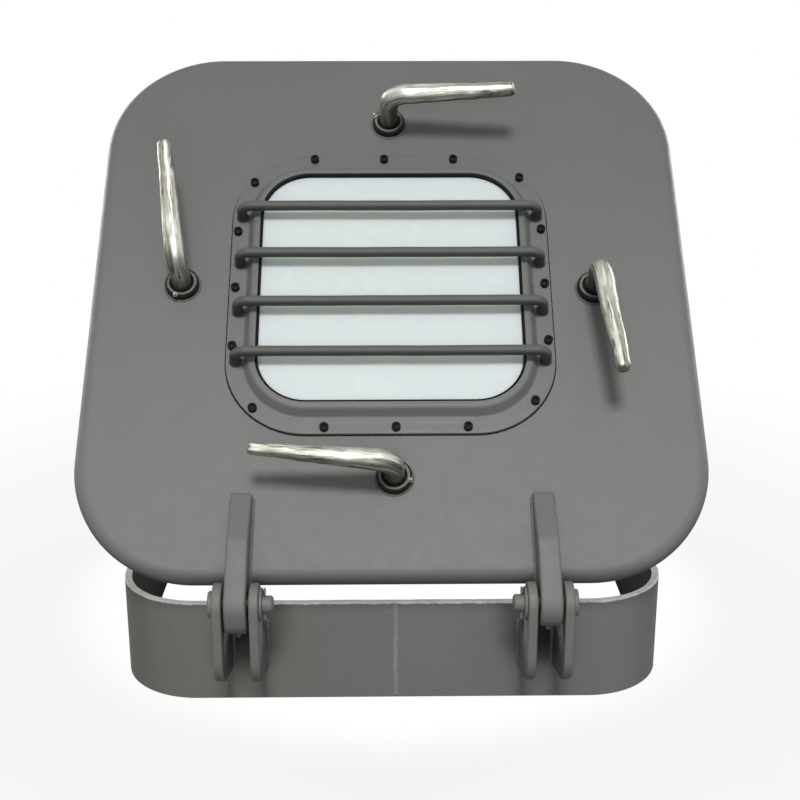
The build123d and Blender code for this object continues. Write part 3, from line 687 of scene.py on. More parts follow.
def inner_shade_finish(colour):
    """The coating inside the coaming, darkened to near black as painted shade, with dust and drips of darker tar."""
    r = Recipe("coaming_inner_coating_and_shade")
    drips = r.level(r.noise(30, 4, 0.6, r.stretched((1.0, 1.0, 0.15))), 0.4, 0.65)
    tone = r.mix(drips, shade(colour, 1.3), shade(colour, 0.6))
    tone = r.mix(r.level(r.noise(420, 2, 0.6), 0.62, 0.74, 0.0, 0.3), tone, shade(colour, 3.0))
    r.bump(r.noise(350, 3, 0.6), 0.00010, 0.8)
    return r.set(tone, r.level(r.noise(50, 3), 0.3, 0.7, 0.55, 0.70), Specular_IOR_Level=0.25)


def rubber_finish(colour):
    """Black rubber with a faint bloom and a fine moulded grain."""
    r = Recipe("seal_rubber_black")
    bloom = r.level(r.noise(40, 4, 0.6), 0.4, 0.7, 0.0, 0.5)
    tone = r.mix(bloom, colour, shade(colour, 2.2))
    r.bump(r.noise(1300, 2), 0.00005, 0.6)
    return r.set(tone, r.level(r.noise(70, 3), 0.3, 0.7, 0.60, 0.75), Specular_IOR_Level=0.15)


def screw_finish():
    """Black oxide on socket screws, with a dusting of grey."""
    r = Recipe("screw_black_oxide")
    tone = r.mix(r.level(r.noise(260, 3, 0.6), 0.5, 0.75, 0.0, 0.5), (0.003, 0.003, 0.003), (0.020, 0.020, 0.019))
    r.bump(r.noise(1600, 2), 0.00004, 0.6)
    return r.set(tone, r.level(r.noise(120, 3), 0.3, 0.7, 0.45, 0.60), Specular_IOR_Level=0.15)


def pane_finish(colour):
    """A pale opal pane: milky body with a smooth face, a trace of smears and painted shade towards its top."""
    r = Recipe("pane_opal")
    smear = r.level(r.noise(7, 3, 0.5, distortion=0.8), 0.35, 0.7)
    tone = r.mix(smear, colour, shade(colour, 0.98))
    # painted shade: darker towards the top of the pane
    tone = r.mix(r.level(r.axis("Z"), 0.22, 0.50), tone, shade(colour, 0.95))
    rough = r.level(r.noise(14, 4, 0.6), 0.35, 0.7, 0.20, 0.30)
    r.shader.inputs["Subsurface Radius"].default_value = (1.0, 0.95, 0.55)
    return r.set(tone, rough, Specular_IOR_Level=0.3, Subsurface_Weight=0.6, Subsurface_Scale=0.012)


def bronze_finish(colour):
    """Cast bronze turned smooth, dulled in broad patches, with turning marks."""
    r = Recipe("bush_bronze_turned")
    tone = r.mix(r.level(r.noise(70, 4, 0.6), 0.35, 0.7), colour, shade(colour, 0.6))
    r.bump(r.noise(500, 2, 0.5, r.stretched((6.0, 1.0, 1.0))), 0.00008, 0.5)
    return r.set(tone, r.level(r.noise(120, 3), 0.3, 0.7, 0.35, 0.50), 0.5, Specular_IOR_Level=0.3)


def plated_finish():
    """Zinc plated small parts, a little dull."""
    r = Recipe("plated_steel_zinc")
    tone = r.mix(r.level(r.noise(180, 4, 0.6), 0.35, 0.7), (0.50, 0.49, 0.44), (0.30, 0.30, 0.26))
    r.bump(r.noise(900, 2), 0.00006, 0.6)
    return r.set(tone, r.level(r.noise(150, 3), 0.3, 0.7, 0.30, 0.46), 0.8)


def finish(name):
    """The named finish of this hatch, made once."""
    made = bpy.data.materials.get(MATERIAL_NAMES[name])
    if made:
        return made
    f = bpy.context.scene.hatch_finishes
    lid = tuple(f.lid_paint)
    if name == "lid":
        return matt_paint("lid_paint_matt", lid, f.dust, 0.0, 1.0)
    if name == "arm":
        # painted light: the arms take the lid's grey lightened 1.22 times, a lit copy of the same paint
        return matt_paint("hinge_arm_paint_lit", shade(lid, 1.22), f.dust)
    if name == "hinge":
        # painted light: the lugs, pins and small hinge parts take the lid's grey lightened 1.26 times, a lit copy of
        # the same paint, with a warm tinge
        return matt_paint("hinge_paint_lit", shade(lid, 1.26), f.dust, 0.25)
    if name == "guard":
        return guard_finish(tuple(f.guard_paint), f.dust)
    if name == "coaming":
        return coaming_finish(tuple(f.coaming_paint), f.dust)
    if name == "seam":
        # painted highlight: the butt weld takes the coaming's grey lightened 1.35 times
        return matt_paint("seam_paint_highlight", shade(f.coaming_paint, 1.35), f.dust)
    if name == "inner":
        return inner_shade_finish(tuple(f.inner_coating_and_shade))
    if name == "bush":
        return bush_finish(shade(lid, 1.08))
    if name == "lever":
        return galvanised("lever_galvanised", tuple(f.lever_metal), "grain")
    if name == "casting":
        return galvanised("dog_arm_galvanised", tuple(f.lever_metal))
    if name == "rubber":
        return rubber_finish(tuple(f.rubber))
    if name == "screw":
        return screw_finish()
    if name == "pane":
        return pane_finish(tuple(f.pane))
    if name == "bronze":
        return bronze_finish(tuple(f.bronze))
    if name == "plated":
        return plated_finish()
    raise ValueError(f"no finish is named {name}")


MATERIAL_NAMES = {
    "lid": "lid_paint_matt",
    "arm": "hinge_arm_paint_lit",
    "hinge": "hinge_paint_lit",
    "guard": "guard_paint_matt",
    "coaming": "coaming_paint_worn_and_shaded",
    "seam": "seam_paint_highlight",
    "inner": "coaming_inner_coating_and_shade",
    "bush": "bush_grimed_paint",
    "lever": "lever_galvanised",
    "casting": "dog_arm_galvanised",
    "rubber": "seal_rubber_black",
    "screw": "screw_black_oxide",
    "pane": "pane_opal",
    "bronze": "bush_bronze_turned",
    "plated": "plated_steel_zinc",
}


# ---------------------------------------------------------------- the pieces

class HATCH_OT_coaming(bpy.types.Operator):
    """Make the rolled coaming with its butt weld"""
    bl_idname = "hatch.coaming"
    bl_label = "Coaming"

    def execute(self, context):
        sizes = context.scene.hatch_sizes
        edge = 0.8
        top = COAMING_HEIGHT
        rows = [(308, 90, 0.5), (308, 90, 40), (308, 90, 80), (308, 90, top - edge - 1), (308, 90, top - edge),
                (308 - edge, 90 - edge, top), (300 + edge, 82 + edge, top), (300, 82, top - edge),
                (300, 82, top - edge - 1), (300, 82, 60), (300, 82, 0.5), (300.5, 82.5, 0), (307.5, 89.5, 0)]
        rings = square_rings(rows, 28, 60)
        run = np.cumsum(np.linalg.norm(np.roll(rings[0], -1, 0) - rings[0], axis=1))
        rings[4:8, :, 2] += wander(run, sizes.rim_waver * 1000, 3)
        shell = Shell()
        shell.skin(rings, closed=True)
        ring = make_piece("coaming_ring", shell, finish("coaming"), "coaming", ["coaming"])
        # the inner faces take the inside coating, darkened to near black as painted shade
        second_finish(ring, finish("inner"), lambda centre, normal: (
            (centre[:, :2] * normal[:, :2]).sum(1) < -0.1) & (centre[:, 2] < 0.1153))
        seam = Shell()
        line = np.stack([3 + wander(np.linspace(0, 112, 40), 0.7, 8), np.full(40, -307.6),
                         np.linspace(2, 113.5, 40)], -1)
        weld(seam, line, (0, -1, 0), 3.0, 3.4, 5, flat=0.55)
        inner = line * (1, 0, 1) + (0, -300.3, 0)
        weld(seam, inner, (0, 1, 0), 3.0, 3.4, 6, flat=0.42)
        make_piece("coaming_butt_weld", seam, finish("seam"), "coaming", ())
        return {"FINISHED"}


def lug_line():
    """A lug's outline in Y and Z, anticlockwise: weld edge, throat, the eye's arc and the rounded belly."""
    back, front = HINGE_Y + 20.5, HINGE_Y - 22.0
    drop = sqrt(22.0 ** 2 - 20.5 ** 2)
    angle = np.linspace(atan2(-drop, 20.5), pi, 40)
    eye = np.stack([HINGE_Y + 22 * np.cos(angle), HINGE_Z + 22 * np.sin(angle)], -1)
    wall, foot_z, corner_z, belly_radius = -307.6, 39.1, 66.0, 38.0
    on = np.array([wall - front, foot_z - corner_z]) / hypot(wall - front, foot_z - corner_z)
    half = np.arccos(on[1]) / 2
    centre = np.array([front + belly_radius, corner_z + belly_radius / tan(half)])
    arc = np.linspace(pi, pi + (pi - 2 * half), 18)
    belly = centre + belly_radius * np.stack([np.cos(arc), np.sin(arc)], -1)
    foot = np.linspace(belly[-1], (wall, foot_z), 5)[1:]
    rise = np.linspace((wall, foot_z), (wall, 98.0), 7)[1:]
    shelf = np.linspace((-307.6, 98.0), (back, 98.0), 6)[1:]
    throat = np.linspace((back, 98.0), (back, HINGE_Z - drop), 5)[1:-1]
    return np.concatenate([rise, shelf, throat, eye, belly, foot])


class HATCH_OT_lugs(bpy.types.Operator):
    """Make the four hinge lugs and their welds to the coaming"""
    bl_idname = "hatch.lugs"
    bl_label = "Hinge lugs"

    def execute(self, context):
        sizes = context.scene.hatch_sizes
        line = lug_line()
        for side, side_name in SIDES.items():
            for place, low in (("outer", 176.0 if side > 0 else -186.0), ("inner", 138.0 if side > 0 else -148.0)):
                shell = Shell()
                rings = plate_rings(line, low, low + 10.0, 2.0)
                hole = [circle(9.6, (HINGE_Y, HINGE_Z), low), circle(9.05, (HINGE_Y, HINGE_Z), low + 0.6),
                        circle(9.05, (HINGE_Y, HINGE_Z), low + 9.4), circle(9.6, (HINGE_Y, HINGE_Z), low + 10)]
                shell.skin(rings)
                shell.skin(np.stack(hole))
                shell.patch(rings[0], [hole[0]])
                shell.patch(rings[-1], [hole[-1]])
                shell.moved(lambda p: p[:, [2, 0, 1]])
                leg = sizes.weld_leg * 1000
                for x, way in ((low, -1), (low + 10.0, 1)):
                    seam = np.stack([np.full(20, x), np.full(20, -308.0), np.linspace(41, 97, 20)], -1)
                    weld(shell, seam, (0.7 * way, -0.7, 0), leg, sizes.weld_ripple * 1000, int(abs(x)), flat=0.85)
                name = f"hinge_lug_{side_name}_{place}"
                make_piece(f"{name}_plate", shell, finish("hinge"), "coaming", [name], 40)
        return {"FINISHED"}


def split_pin_path():
    """One wire in the Y-Z plane: up the first leg, round the eye and down the second leg."""
    angle = np.linspace(-0.36 * pi, 1.36 * pi, 30)
    eye = np.stack([np.zeros(30), 3.4 * np.cos(angle), 13.9 + 3.4 * np.sin(angle)], -1)
    spread = radians(20)
    first = np.array([[0, 1.1 + 6.0 * sin(spread), -10.5 - 6.0 * cos(spread)], [0, 1.1, -10.5], [0, 1.05, -4],
                      [0, 1.05, 4], [0, 1.05, 9.8]])
    second = first[::-1] * (1, -1, 1)
    return np.concatenate([first, eye, second])


class HATCH_OT_pins(bpy.types.Operator):
    """Make the hinge pins with their washers and split pins"""
    bl_idname = "hatch.pins"
    bl_label = "Hinge pins"

    def execute(self, context):
        steps = context.scene.hatch_sizes.round_steps
        washers, splits = Shell(), Shell()
        for side, side_name in SIDES.items():
            pin = Shell()
            profile = [(13.0, 191.0), (14.0, 190.0), (14.0, 186.6), (13.5, 186.0), (9.0, 185.8), (9.0, 180.0),
                       (9.0, 140.0), (9.0, 126.0), (7.0, 124.0)]
            rings = placed(turned_rings(profile, steps), (0, HINGE_Y, HINGE_Z), (0, 1, 0), (0, 0, 1), (side, 0, 0))
            pin.skin(rings, first=True, last=True)
            make_piece(f"hinge_pin_{side_name}_steel", pin, finish("hinge"), "coaming",
                       [f"hinge_pin_{side_name}"])
            ring = [(9.0, 137.9), (16.4, 137.9), (17.0, 137.4), (17.0, 135.6), (16.4, 135.0), (9.3, 135.0),
                    (9.0, 135.3)]
            rings = placed(turned_rings(ring, steps), (0, HINGE_Y, HINGE_Z), (0, 1, 0), (0, 0, 1), (side, 0, 0))
            washers.skin(rings, closed=True)
            path = split_pin_path() + (side * 132.5, HINGE_Y, HINGE_Z)
            splits.skin(tube_rings(path, 1.0, (1, 0, 0), 10), first=True, last=True)
        make_piece("hinge_washer_rings", washers, finish("hinge"), "coaming", ["hinge_washers"])
        make_piece("hinge_split_pin_wires", splits, finish("hinge"), "coaming", ["hinge_split_pins"],
                   50)
        return {"FINISHED"}


class HATCH_OT_lid(bpy.types.Operator):
    """Make the lid plate with its rolled rim, bored for the window, the dogs and the screws"""
    bl_idname = "hatch.lid"
    bl_label = "Lid plate"

    def execute(self, context):
        turn = np.linspace(0, pi / 2, 11)
        outer = [(335 + 15 * sin(a), 125 + 15 * sin(a), -15 + 15 * cos(a)) for a in turn]
        inner = [(335 + 9 * sin(a), 125 + 9 * sin(a), -15 + 9 * cos(a)) for a in turn[::-1]]
        rows = [(333, 123, 0), *outer, (350, 140, -17.2), (349.3, 139.3, -18), (344.7, 134.7, -18),
                (344, 134, -17.2), *inner, (333, 123, -6)]
        rings = square_rings(rows, 30, 10)
        opening = window_rings([(150.5, 0), (150, -0.5), (150, -5.5), (150.5, -6)]) + WINDOW_SHIFT
        shell = Shell()
        shell.skin(rings)
        shell.skin(opening)
        top_holes, low_holes = [opening[0]], [opening[-1]]
        bores = [(19.5, centre, 32) for centre in DOG_CENTRE.values()]
        bores += [(3.0, (x + WINDOW_SHIFT[0], y + WINDOW_SHIFT[1]), 12) for x, y in screw_places()]
        for radius, centre, steps in bores:
            top, low = circle(radius, centre, 0, steps), circle(radius, centre, -6, steps)
            shell.skin(np.stack([top, low]))
            top_holes.append(top)
            low_holes.append(low)
        shell.patch(rings[0], top_holes)
        shell.patch(rings[-1], low_holes)
        shell.moved(on_lid)
        make_piece("lid_plate_rolled", shell, finish("lid"), "lid", ["lid_pan"], 40)
        return {"FINISHED"}


class HATCH_OT_seals(bpy.types.Operator):
    """Make the gasket, its channel bars and the doubling ring under the lid"""
    bl_idname = "hatch.seals"
    bl_label = "Lid seal"

    def execute(self, context):
        for name, low, high in (("gasket_bar_outer", 316.0, 322.0), ("gasket_bar_inner", 286.0, 292.0)):
            rows = [(high, -6.1), (high, -29.3), (high - 0.7, -30), (low + 0.7, -30), (low, -29.3), (low, -6.1)]
            rows = [(h, h - 218.0, z) for h, z in rows]
            shell = Shell()
            shell.skin(square_rings(rows, 24, 8), closed=True)
            if name == "gasket_bar_outer":
                weld(shell, square_rings([(high + 0.5, high - 217.5, -6.2)], 24, 30)[0], (0, 0, 1), 3.0, 3.4, 21,
                     closed=True)
            else:
                weld(shell, square_rings([(low - 0.5, low - 218.5, -6.2)], 24, 30)[0], (0, 0, 1), 3.0, 3.4, 22,
                     closed=True)
            shell.moved(on_lid)
            make_piece(f"{name}_strip", shell, finish("lid"), "lid", [name])
        turn = np.linspace(0, pi / 2, 7)
        rows = [(315.7, -6.1)] + [(311.7 + 4 * cos(a), -20.7 - 4 * sin(a)) for a in turn]
        rows += [(296.3 - 4 * sin(a), -20.7 - 4 * cos(a)) for a in turn] + [(292.3, -6.1)]
        shell = Shell()
        shell.skin(square_rings([(h, h - 218.0, z) for h, z in rows], 24, 8), closed=True)
        shell.moved(on_lid)
        make_piece("lid_gasket_rubber", shell, finish("rubber"), "lid", ["lid_gasket"])
        rows = [(187, -6.05), (187, -11.4), (186.4, -12), (150.6, -12), (150, -11.4), (150, -6.05)]
        rings = window_rings(rows)
        shell = Shell()
        shell.skin(rings[:3])
        shell.skin(rings[3:])
        holes = [[circle(3.0, place, z, 12) for place in screw_places()] for z in (-6.05, -12)]
        shell.patch(rings[0], [rings[5], *holes[0]])
        shell.patch(rings[2], [rings[3], *holes[1]])
        for top, low in zip(*holes):
            shell.skin(np.stack([top, low]))
        shell.moved(on_window)
        make_piece("window_doubling_ring", shell, finish("lid"), "lid", ["window_backing_ring"])
        return {"FINISHED"}


def arm_line(side):
    """A hinge arm's outline in Y and Z on the shut lid, anticlockwise: round the eye, along the lid's rolled
    rim and face, up its end and back down the slope to the level top."""
    drop = EYE_DROP[side]
    turn = radians(-128.0)
    low_eye = np.array([HINGE_Y + drop * cos(turn), HINGE_Z + drop * sin(turn)])
    upper = np.linspace(pi / 2, turn + 1.5 * pi, 22)
    lower = np.linspace(turn + 1.5 * pi, 1.5 * pi, 14)
    eye = [np.array([HINGE_Y, HINGE_Z]) + 24 * np.stack([np.cos(upper), np.sin(upper)], -1),
           low_eye + 24 * np.stack([np.cos(lower), np.sin(lower)], -1)[0 if drop else 1:]]
    if drop:
        closing = np.linspace(1.5 * pi, turn + 2.5 * pi, 8)[1:]
        tail = low_eye + 24 * np.stack([np.cos(closing), np.sin(closing)], -1)
        eye.append(tail)
    roll = np.linspace(pi, pi / 2, 9)
    rim = np.stack([-335 + 15 * np.cos(roll), LID_FACE - 15 + 15 * np.sin(roll)], -1)
    under = np.array([[-350.0, 125.0]])
    slope = outline([(ARM_END, 141), (ARM_END, 153), (ARM_END - 60, 173), (-370, 173)], [0, 5, 26, 0])[:-1]
    level = np.linspace((-335.0, 173.0), (HINGE_Y + 2, 173.0), 4)
    return np.concatenate([*eye, under, rim, slope, level])


class HATCH_OT_arms(bpy.types.Operator):
    """Make the two hinge arms with their welds and grease nipples"""
    bl_idname = "hatch.arms"
    bl_label = "Hinge arms"

    def execute(self, context):
        sizes = context.scene.hatch_sizes
        leg, ripple = sizes.weld_leg * 1000, sizes.weld_ripple * 1000
        nipples = Shell()
        for side, side_name in SIDES.items():
            low, high = side * 162.0 - ARM_PLATE / 2, side * 162.0 + ARM_PLATE / 2
            rings = plate_rings(arm_line(side), low, high, 3.0, 5)
            hole = [circle(12.6, (HINGE_Y, HINGE_Z), low), circle(12.05, (HINGE_Y, HINGE_Z), low + 0.6),
                    circle(12.05, (HINGE_Y, HINGE_Z), high - 0.6), circle(12.6, (HINGE_Y, HINGE_Z), high)]
            shell = Shell()
            shell.skin(rings)
            shell.skin(np.stack(hole))
            shell.patch(rings[0], [hole[0]])
            shell.patch(rings[-1], [hole[-1]])
            shell.moved(lambda p: shut_frame(p[:, [2, 0, 1]]))
            turn = np.linspace(pi, pi / 2, 12)
            for x in (low + 0.5, high - 0.5):
                rim = np.stack([-335 + 15 * np.cos(turn), -15 + 15 * np.sin(turn)], -1)
                line = np.concatenate([rim, [(ARM_END - 2, 0)]])
                line = np.concatenate([np.full((len(line), 1), x), line], 1)
                weld(shell, on_lid(line), (1, 0, 0), leg, ripple, int(abs(x)), flat=0.9)
            end = np.array([[low + 1, ARM_END, 0], [high - 1, ARM_END, 0]], float)
            weld(shell, on_lid(end), (0, 0.7, 0.7), leg, ripple, 44 + side, flat=0.9)
            make_piece(f"hinge_arm_{side_name}_plate", shell, finish("arm"), "lid",
                       [f"hinge_arm_{side_name}"], 40)
            way = np.array([0, cos(radians(-128)), sin(radians(-128))])
            base = np.array([side * 162.0, HINGE_Y, HINGE_Z]) + way * (24 + EYE_DROP[side] - 0.4)
            rings = placed(nipple_rings(), base, (1, 0, 0), np.cross(way, (1, 0, 0)), way)
            nipples.skin(shut_frame(rings), first=True, last=True)
        make_piece("hinge_nipple_fittings", nipples, finish("hinge"), "lid", ["hinge_grease_nipples"],
                   30)
        for name in SIDES.values():
            dress(f"hinge_bush_{name}", finish("bronze"))
        return {"FINISHED"}


def nipple_rings(steps=24):
    """A grease nipple on the Z axis: hexagon rings, a neck, and a ball of radius 3 about height 7."""
    hexagon = sided_ring(4.0, 6, 1.13, steps)
    angle = np.linspace(-0.72, pi / 2 - 0.25, 8)
    ball = [(3 * cos(a), 7 + 3 * sin(a)) for a in angle]
    rows = [at_height(hexagon, 0), at_height(hexagon, 3.4), at_height(hexagon * 0.9, 4.0)]
    rest = turned_rings([(2.25, 4.0), (2.25, 5.0), *ball], steps)
    return np.concatenate([np.stack(rows), rest])


class HATCH_OT_window(bpy.types.Operator):
    """Make the pane, its gasket, the clamp ring and the socket screws"""
    bl_idname = "hatch.window"
    bl_label = "Window"

    def execute(self, context):
        pane = Shell()
        rings = window_rings([(153, 2), (153, 9.2), (152.2, 10)])
        pane.skin(rings, first=True, last=True)
        pane.moved(on_window)
        make_piece("window_pane_opal", pane, finish("pane"), "lid", ["window_glass"])

        gasket = Shell()
        crown = [(151.5 + 1.4 * cos(a), 13.2 + 1.4 * sin(a)) for a in np.linspace(0, pi, 7)]
        rows = [(155.7, 0.05), (155.7, 11.95), (152.9, 11.95), *crown, (150.05, 11.5), (150.05, 10), (153, 10),
                (153, 2), (150, 2), (150, 0.05)]
        gasket.skin(window_rings(rows), closed=True)
        gasket.moved(on_window)
        make_piece("window_gasket_rubber", gasket, finish("rubber"), "lid", ["window_gasket"])

        ring = Shell()
        slope = bent_line([(171.5, 4), (167.2, 4), (160.2, 16), (153.9, 16)], [3.4, 5.2], 8, 2)
        rows = [*slope, (153.3, 15.8), (153.0, 15.3), (153, 12), (156, 12), (163, 0.05)]
        band = window_rings(rows)
        edge = window_rings([(187, 0.05), (187, 3.3), (186.7, 3.8), (186.0, 4.0)])
        ring.skin(band)
        ring.skin(edge)
        holes = [[circle(3.2, place, z, 12) for place in screw_places()] for z in (4.0, 0.05)]
        ring.patch(edge[-1], [band[0], *holes[0]])
        ring.patch(edge[0], [band[-1], *holes[1]])
        for top, low in zip(*holes):
            ring.skin(np.stack([top, low]))
        ring.moved(on_window)
        make_piece("window_ring_pressed", ring, finish("lid"), "lid", ["window_clamp_ring"], 34)

        # painted shade: a thin black bead round the ring's outer edge stands in for the contact shadow there
        bead = Shell()
        weld(bead, window_rings([(187.4, 0.3)])[0], (0, 0, 1), 1.0, 9.0, 31, closed=True)
        bead.moved(on_window)
        make_piece("window_edge_shadow_bead", bead, finish("rubber"), "lid", ())

        screws = Shell()
        steps = 24
        outer = turned_rings([(3, -12), (3, 4.0), (4.9, 4.02), (5, 4.2), (5, 9.3), (4.6, 9.8), (4.1, 10), (3.3, 10)],
                             steps)
        flats = sided_ring(2.5, 6, 1.16, steps)
        socket = np.stack([at_height(flats * 1.06, 10), at_height(flats, 9.8), at_height(flats, 7.2),
                           at_height(flats * 0.3, 6.6)])
        rings = np.concatenate([outer, socket])
        for number, (x, y) in enumerate(screw_places()):
            a = number * 1.9
            screws.skin(placed(rings, (x, y, 0), (cos(a), sin(a), 0), (-sin(a), cos(a), 0), (0, 0, 1)),
                        first=True, last=True)
        screws.moved(on_window)
        make_piece("window_screw_set", screws, finish("screw"), "lid", ["window_screws"], 30)
        return {"FINISHED"}


class HATCH_OT_guards(bpy.types.Operator):
    """Make the four round guard bars with their bent feet and welds"""
    bl_idname = "hatch.guards"
    bl_label = "Guard bars"

    def execute(self, context):
        sizes = context.scene.hatch_sizes
        radius = sizes.guard_bar * 500
        for index in range(4):
            y = (index - 1.5) * 64.6
            line = bent_line([(-175.5, y, 3.6), (-175.5, y, 29), (175.5, y, 29), (175.5, y, 3.6)], [13, 13], 12, 20)
            run = np.linspace(0, 380, len(line))
            line[:, 1] += wander(run, 0.35, 40 + index) * np.sin(pi * np.linspace(0, 1, len(line)))
            shell = Shell()
            shell.skin(tube_rings(line, radius + wander(run, 0.08, 50 + index), (0, 1, 0), 20), first=True, last=True)
            for x in (-175.5, 175.5):
                weld(shell, circle(radius + 0.2, (x, y), 4.0, 40), (0, 0, 1), 1.5, 2.6, index * 7 + 3, closed=True)
            shell.remember(np.concatenate(shell.points) - (0, y, 0))
            shell.moved(on_window)
            name = f"guard_bar_{index + 1}"
            make_piece(f"{name}_rod", shell, finish("guard"), "lid", [name], 45)
        return {"FINISHED"}


def lever_shell(sizes, name, seed):
    """Spindle and lever as one skin: stud, squared end, collar, spindle, elbow of radius 22 and a taper with a
    rounded end. Its pattern's coordinates are the section's own (r cos a, r sin a) and the run along it."""
    steps = 28
    spin = np.arange(steps) * 2 * pi / steps
    disc = np.stack([np.cos(spin), np.sin(spin)], -1)
    square = sided_ring(8.0, 4, 1.32, steps)
    low = [at_height(disc * 6.2, -87.9), at_height(disc * 7, -87.1), at_height(disc * 7, -71.4),
           at_height(square, -71.4), at_height(square, -40.4), at_height(disc * 11, -40.4),
           at_height(disc * 11, -4.3), at_height(disc * 13.9, -4.2), at_height(disc * 13.9, -0.5),
           at_height(disc * 11, -0.4), at_height(disc * 11, 10), at_height(disc * 11, 20)]
    rise = radians(7.5)
    turn = radians(82.5)
    setback = 22 * tan(turn / 2)
    root, tip = np.array([sizes.lever_root, sizes.lever_tip]) * 500 * LEVER_SHARES[name]
    length = LEVER_LENGTH[name] / cos(rise) - setback
    height = 58.5 + LEVER_LIFT[name]
    swing = np.linspace(0, turn, 13)
    bend = np.stack([22 - 22 * np.cos(swing), np.zeros(13), height - setback + 22 * np.sin(swing)], -1)
    edge = np.linspace(0, pi / 2, 6)[1:]
    cap = 4.5
    cap_run, cap_radius = cap * np.sin(edge), tip - cap * (1 - np.cos(edge))
    shares = np.linspace(0, 1, 36)[1:]
    run = np.concatenate([shares * (length - cap), length - cap + cap_run])
    out = np.array([cos(rise), 0, sin(rise)])
    straight = bend[-1] + run[:, None] * out
    taper = root + (tip - root) * np.minimum(run / length, 1)
    taper[-len(cap_radius):] = cap_radius
    path = np.concatenate([bend, straight])
    radius = np.concatenate([np.linspace(11, root, 5), np.full(8, root), taper])
    far = np.concatenate([np.linspace(0, 30, 13), 30 + run])
    uneven = sizes.lever_unevenness * 1000
    path[:, 1] += wander(far, uneven * 1.6, seed) * np.clip(far / 60, 0, 1)
    path[:, 2] += wander(far, uneven * 1.4, seed + 1) * np.clip(far / 60, 0, 1)
    rings = tube_rings(path, radius, (0, 1, 0), steps)
    lump = wander(far[:, None] * 1.3 + 9 * spin[None, :], uneven, seed + 2) * np.clip(radius / tip, 0, 1)[:, None]
    away = rings - path[:, None]
    rings = path[:, None] + away * (1 + lump / np.maximum(radius, 1)[:, None])[..., None]
    stem = np.stack(low)
    first = rings[0, :, :2] - path[0, :2]
    shift = int(np.argmax(first @ np.array([1.0, 0.0])))
    rings = np.roll(rings, -shift, 1)
    if np.cross(np.append(first[shift], 0), np.append(first[(shift + 1) % steps], 0))[2] < 0:
        rings = np.roll(rings[:, ::-1], 1, 1)
    shell = Shell()
    shell.skin(np.concatenate([stem, rings]), first=True, last=True)
    along = np.concatenate([stem[:, 0, 2] - 20, far + height - 20 - setback])
    width = np.concatenate([np.full(len(stem), 11.0), radius])
    section = width[:, None, None] * disc
    run = np.broadcast_to(along[:, None, None], section.shape[:2] + (1,))
    shell.remember(np.concatenate([section, run], -1).reshape(-1, 3))
    return shell


class HATCH_OT_dogs(bpy.types.Operator):
    """Make the dogs: bushes, packings, nipples and the levers with their spindles"""
    bl_idname = "hatch.dogs"
    bl_label = "Dogs"

    def execute(self, context):
        sizes = context.scene.hatch_sizes
        steps = sizes.round_steps
        seals, nipples = Shell(), Shell()
        for number, name in enumerate(DOG_EDGE):
            turn = DOG_EDGE[name] + DOG_TURN[name]
            bush = Shell()
            profile = [(11.05, -40), (18.9, -40), (19.5, -39.4), (19.5, -5), (19.5, 8), (17.5, 10), (14.6, 10),
                       (14.2, 9.6), (14.2, -4.1), (11.05, -4.1)]
            bush.skin(turned_rings(profile, 40), closed=True)
            weld(bush, circle(19.8, (0, 0), 0, 60), (0, 0, 1), 2.0, 3.0, 60 + number, closed=True)
            weld(bush, circle(19.8, (0, 0), -6, 60), (0, 0, 1), 3.0, 3.0, 70 + number, closed=True)
            bush.remember()
            bush.moved(at_dog(name, turn))
            make_piece(f"dog_bush_{name}_sleeve", bush, finish("bush"), "lid", [f"dog_bush_{name}"], 34)
            ring = [(11.1, 0.5), (14.1, 0.5), (14.1, 7.4), (13.4, 8.5), (11.8, 8.5), (11.1, 7.8)]
            seals.skin(at_dog(name, turn)(turned_rings(ring, steps)), closed=True)
            angle = radians(DOG_EDGE[name] + 160.0)
            tilt = radians(22.0)
            out = np.array([cos(angle), sin(angle), 0])
            axis = out * sin(tilt) + (0, 0, cos(tilt))
            side = np.cross((0, 0, 1), out)
            local = placed(nipple_rings(16) * 0.72, out * 17.4 + (0, 0, 8.4), side, np.cross(axis, side), axis)
            nipples.skin(at_dog(name, 0.0)(local), first=True, last=True)
            lever = lever_shell(sizes, name, 80 + number * 5)
            lever.moved(at_dog(name, turn))
            make_piece(f"dog_lever_{name}_forging", lever, finish("lever"), f"dog_{name}", [f"dog_lever_{name}"],
                       40)
            dress(f"dog_arm_{name}", finish("casting"))
            dress(f"dog_washer_{name}", finish("plated"))
            dress(f"dog_nut_{name}", finish("plated"))
        make_piece("dog_packing_rings", seals, finish("rubber"), "lid", ["dog_seals"], 40)
        make_piece("dog_nipple_fittings", nipples, finish("plated"), "lid", ["dog_grease_nipples"], 30)
        return {"FINISHED"}


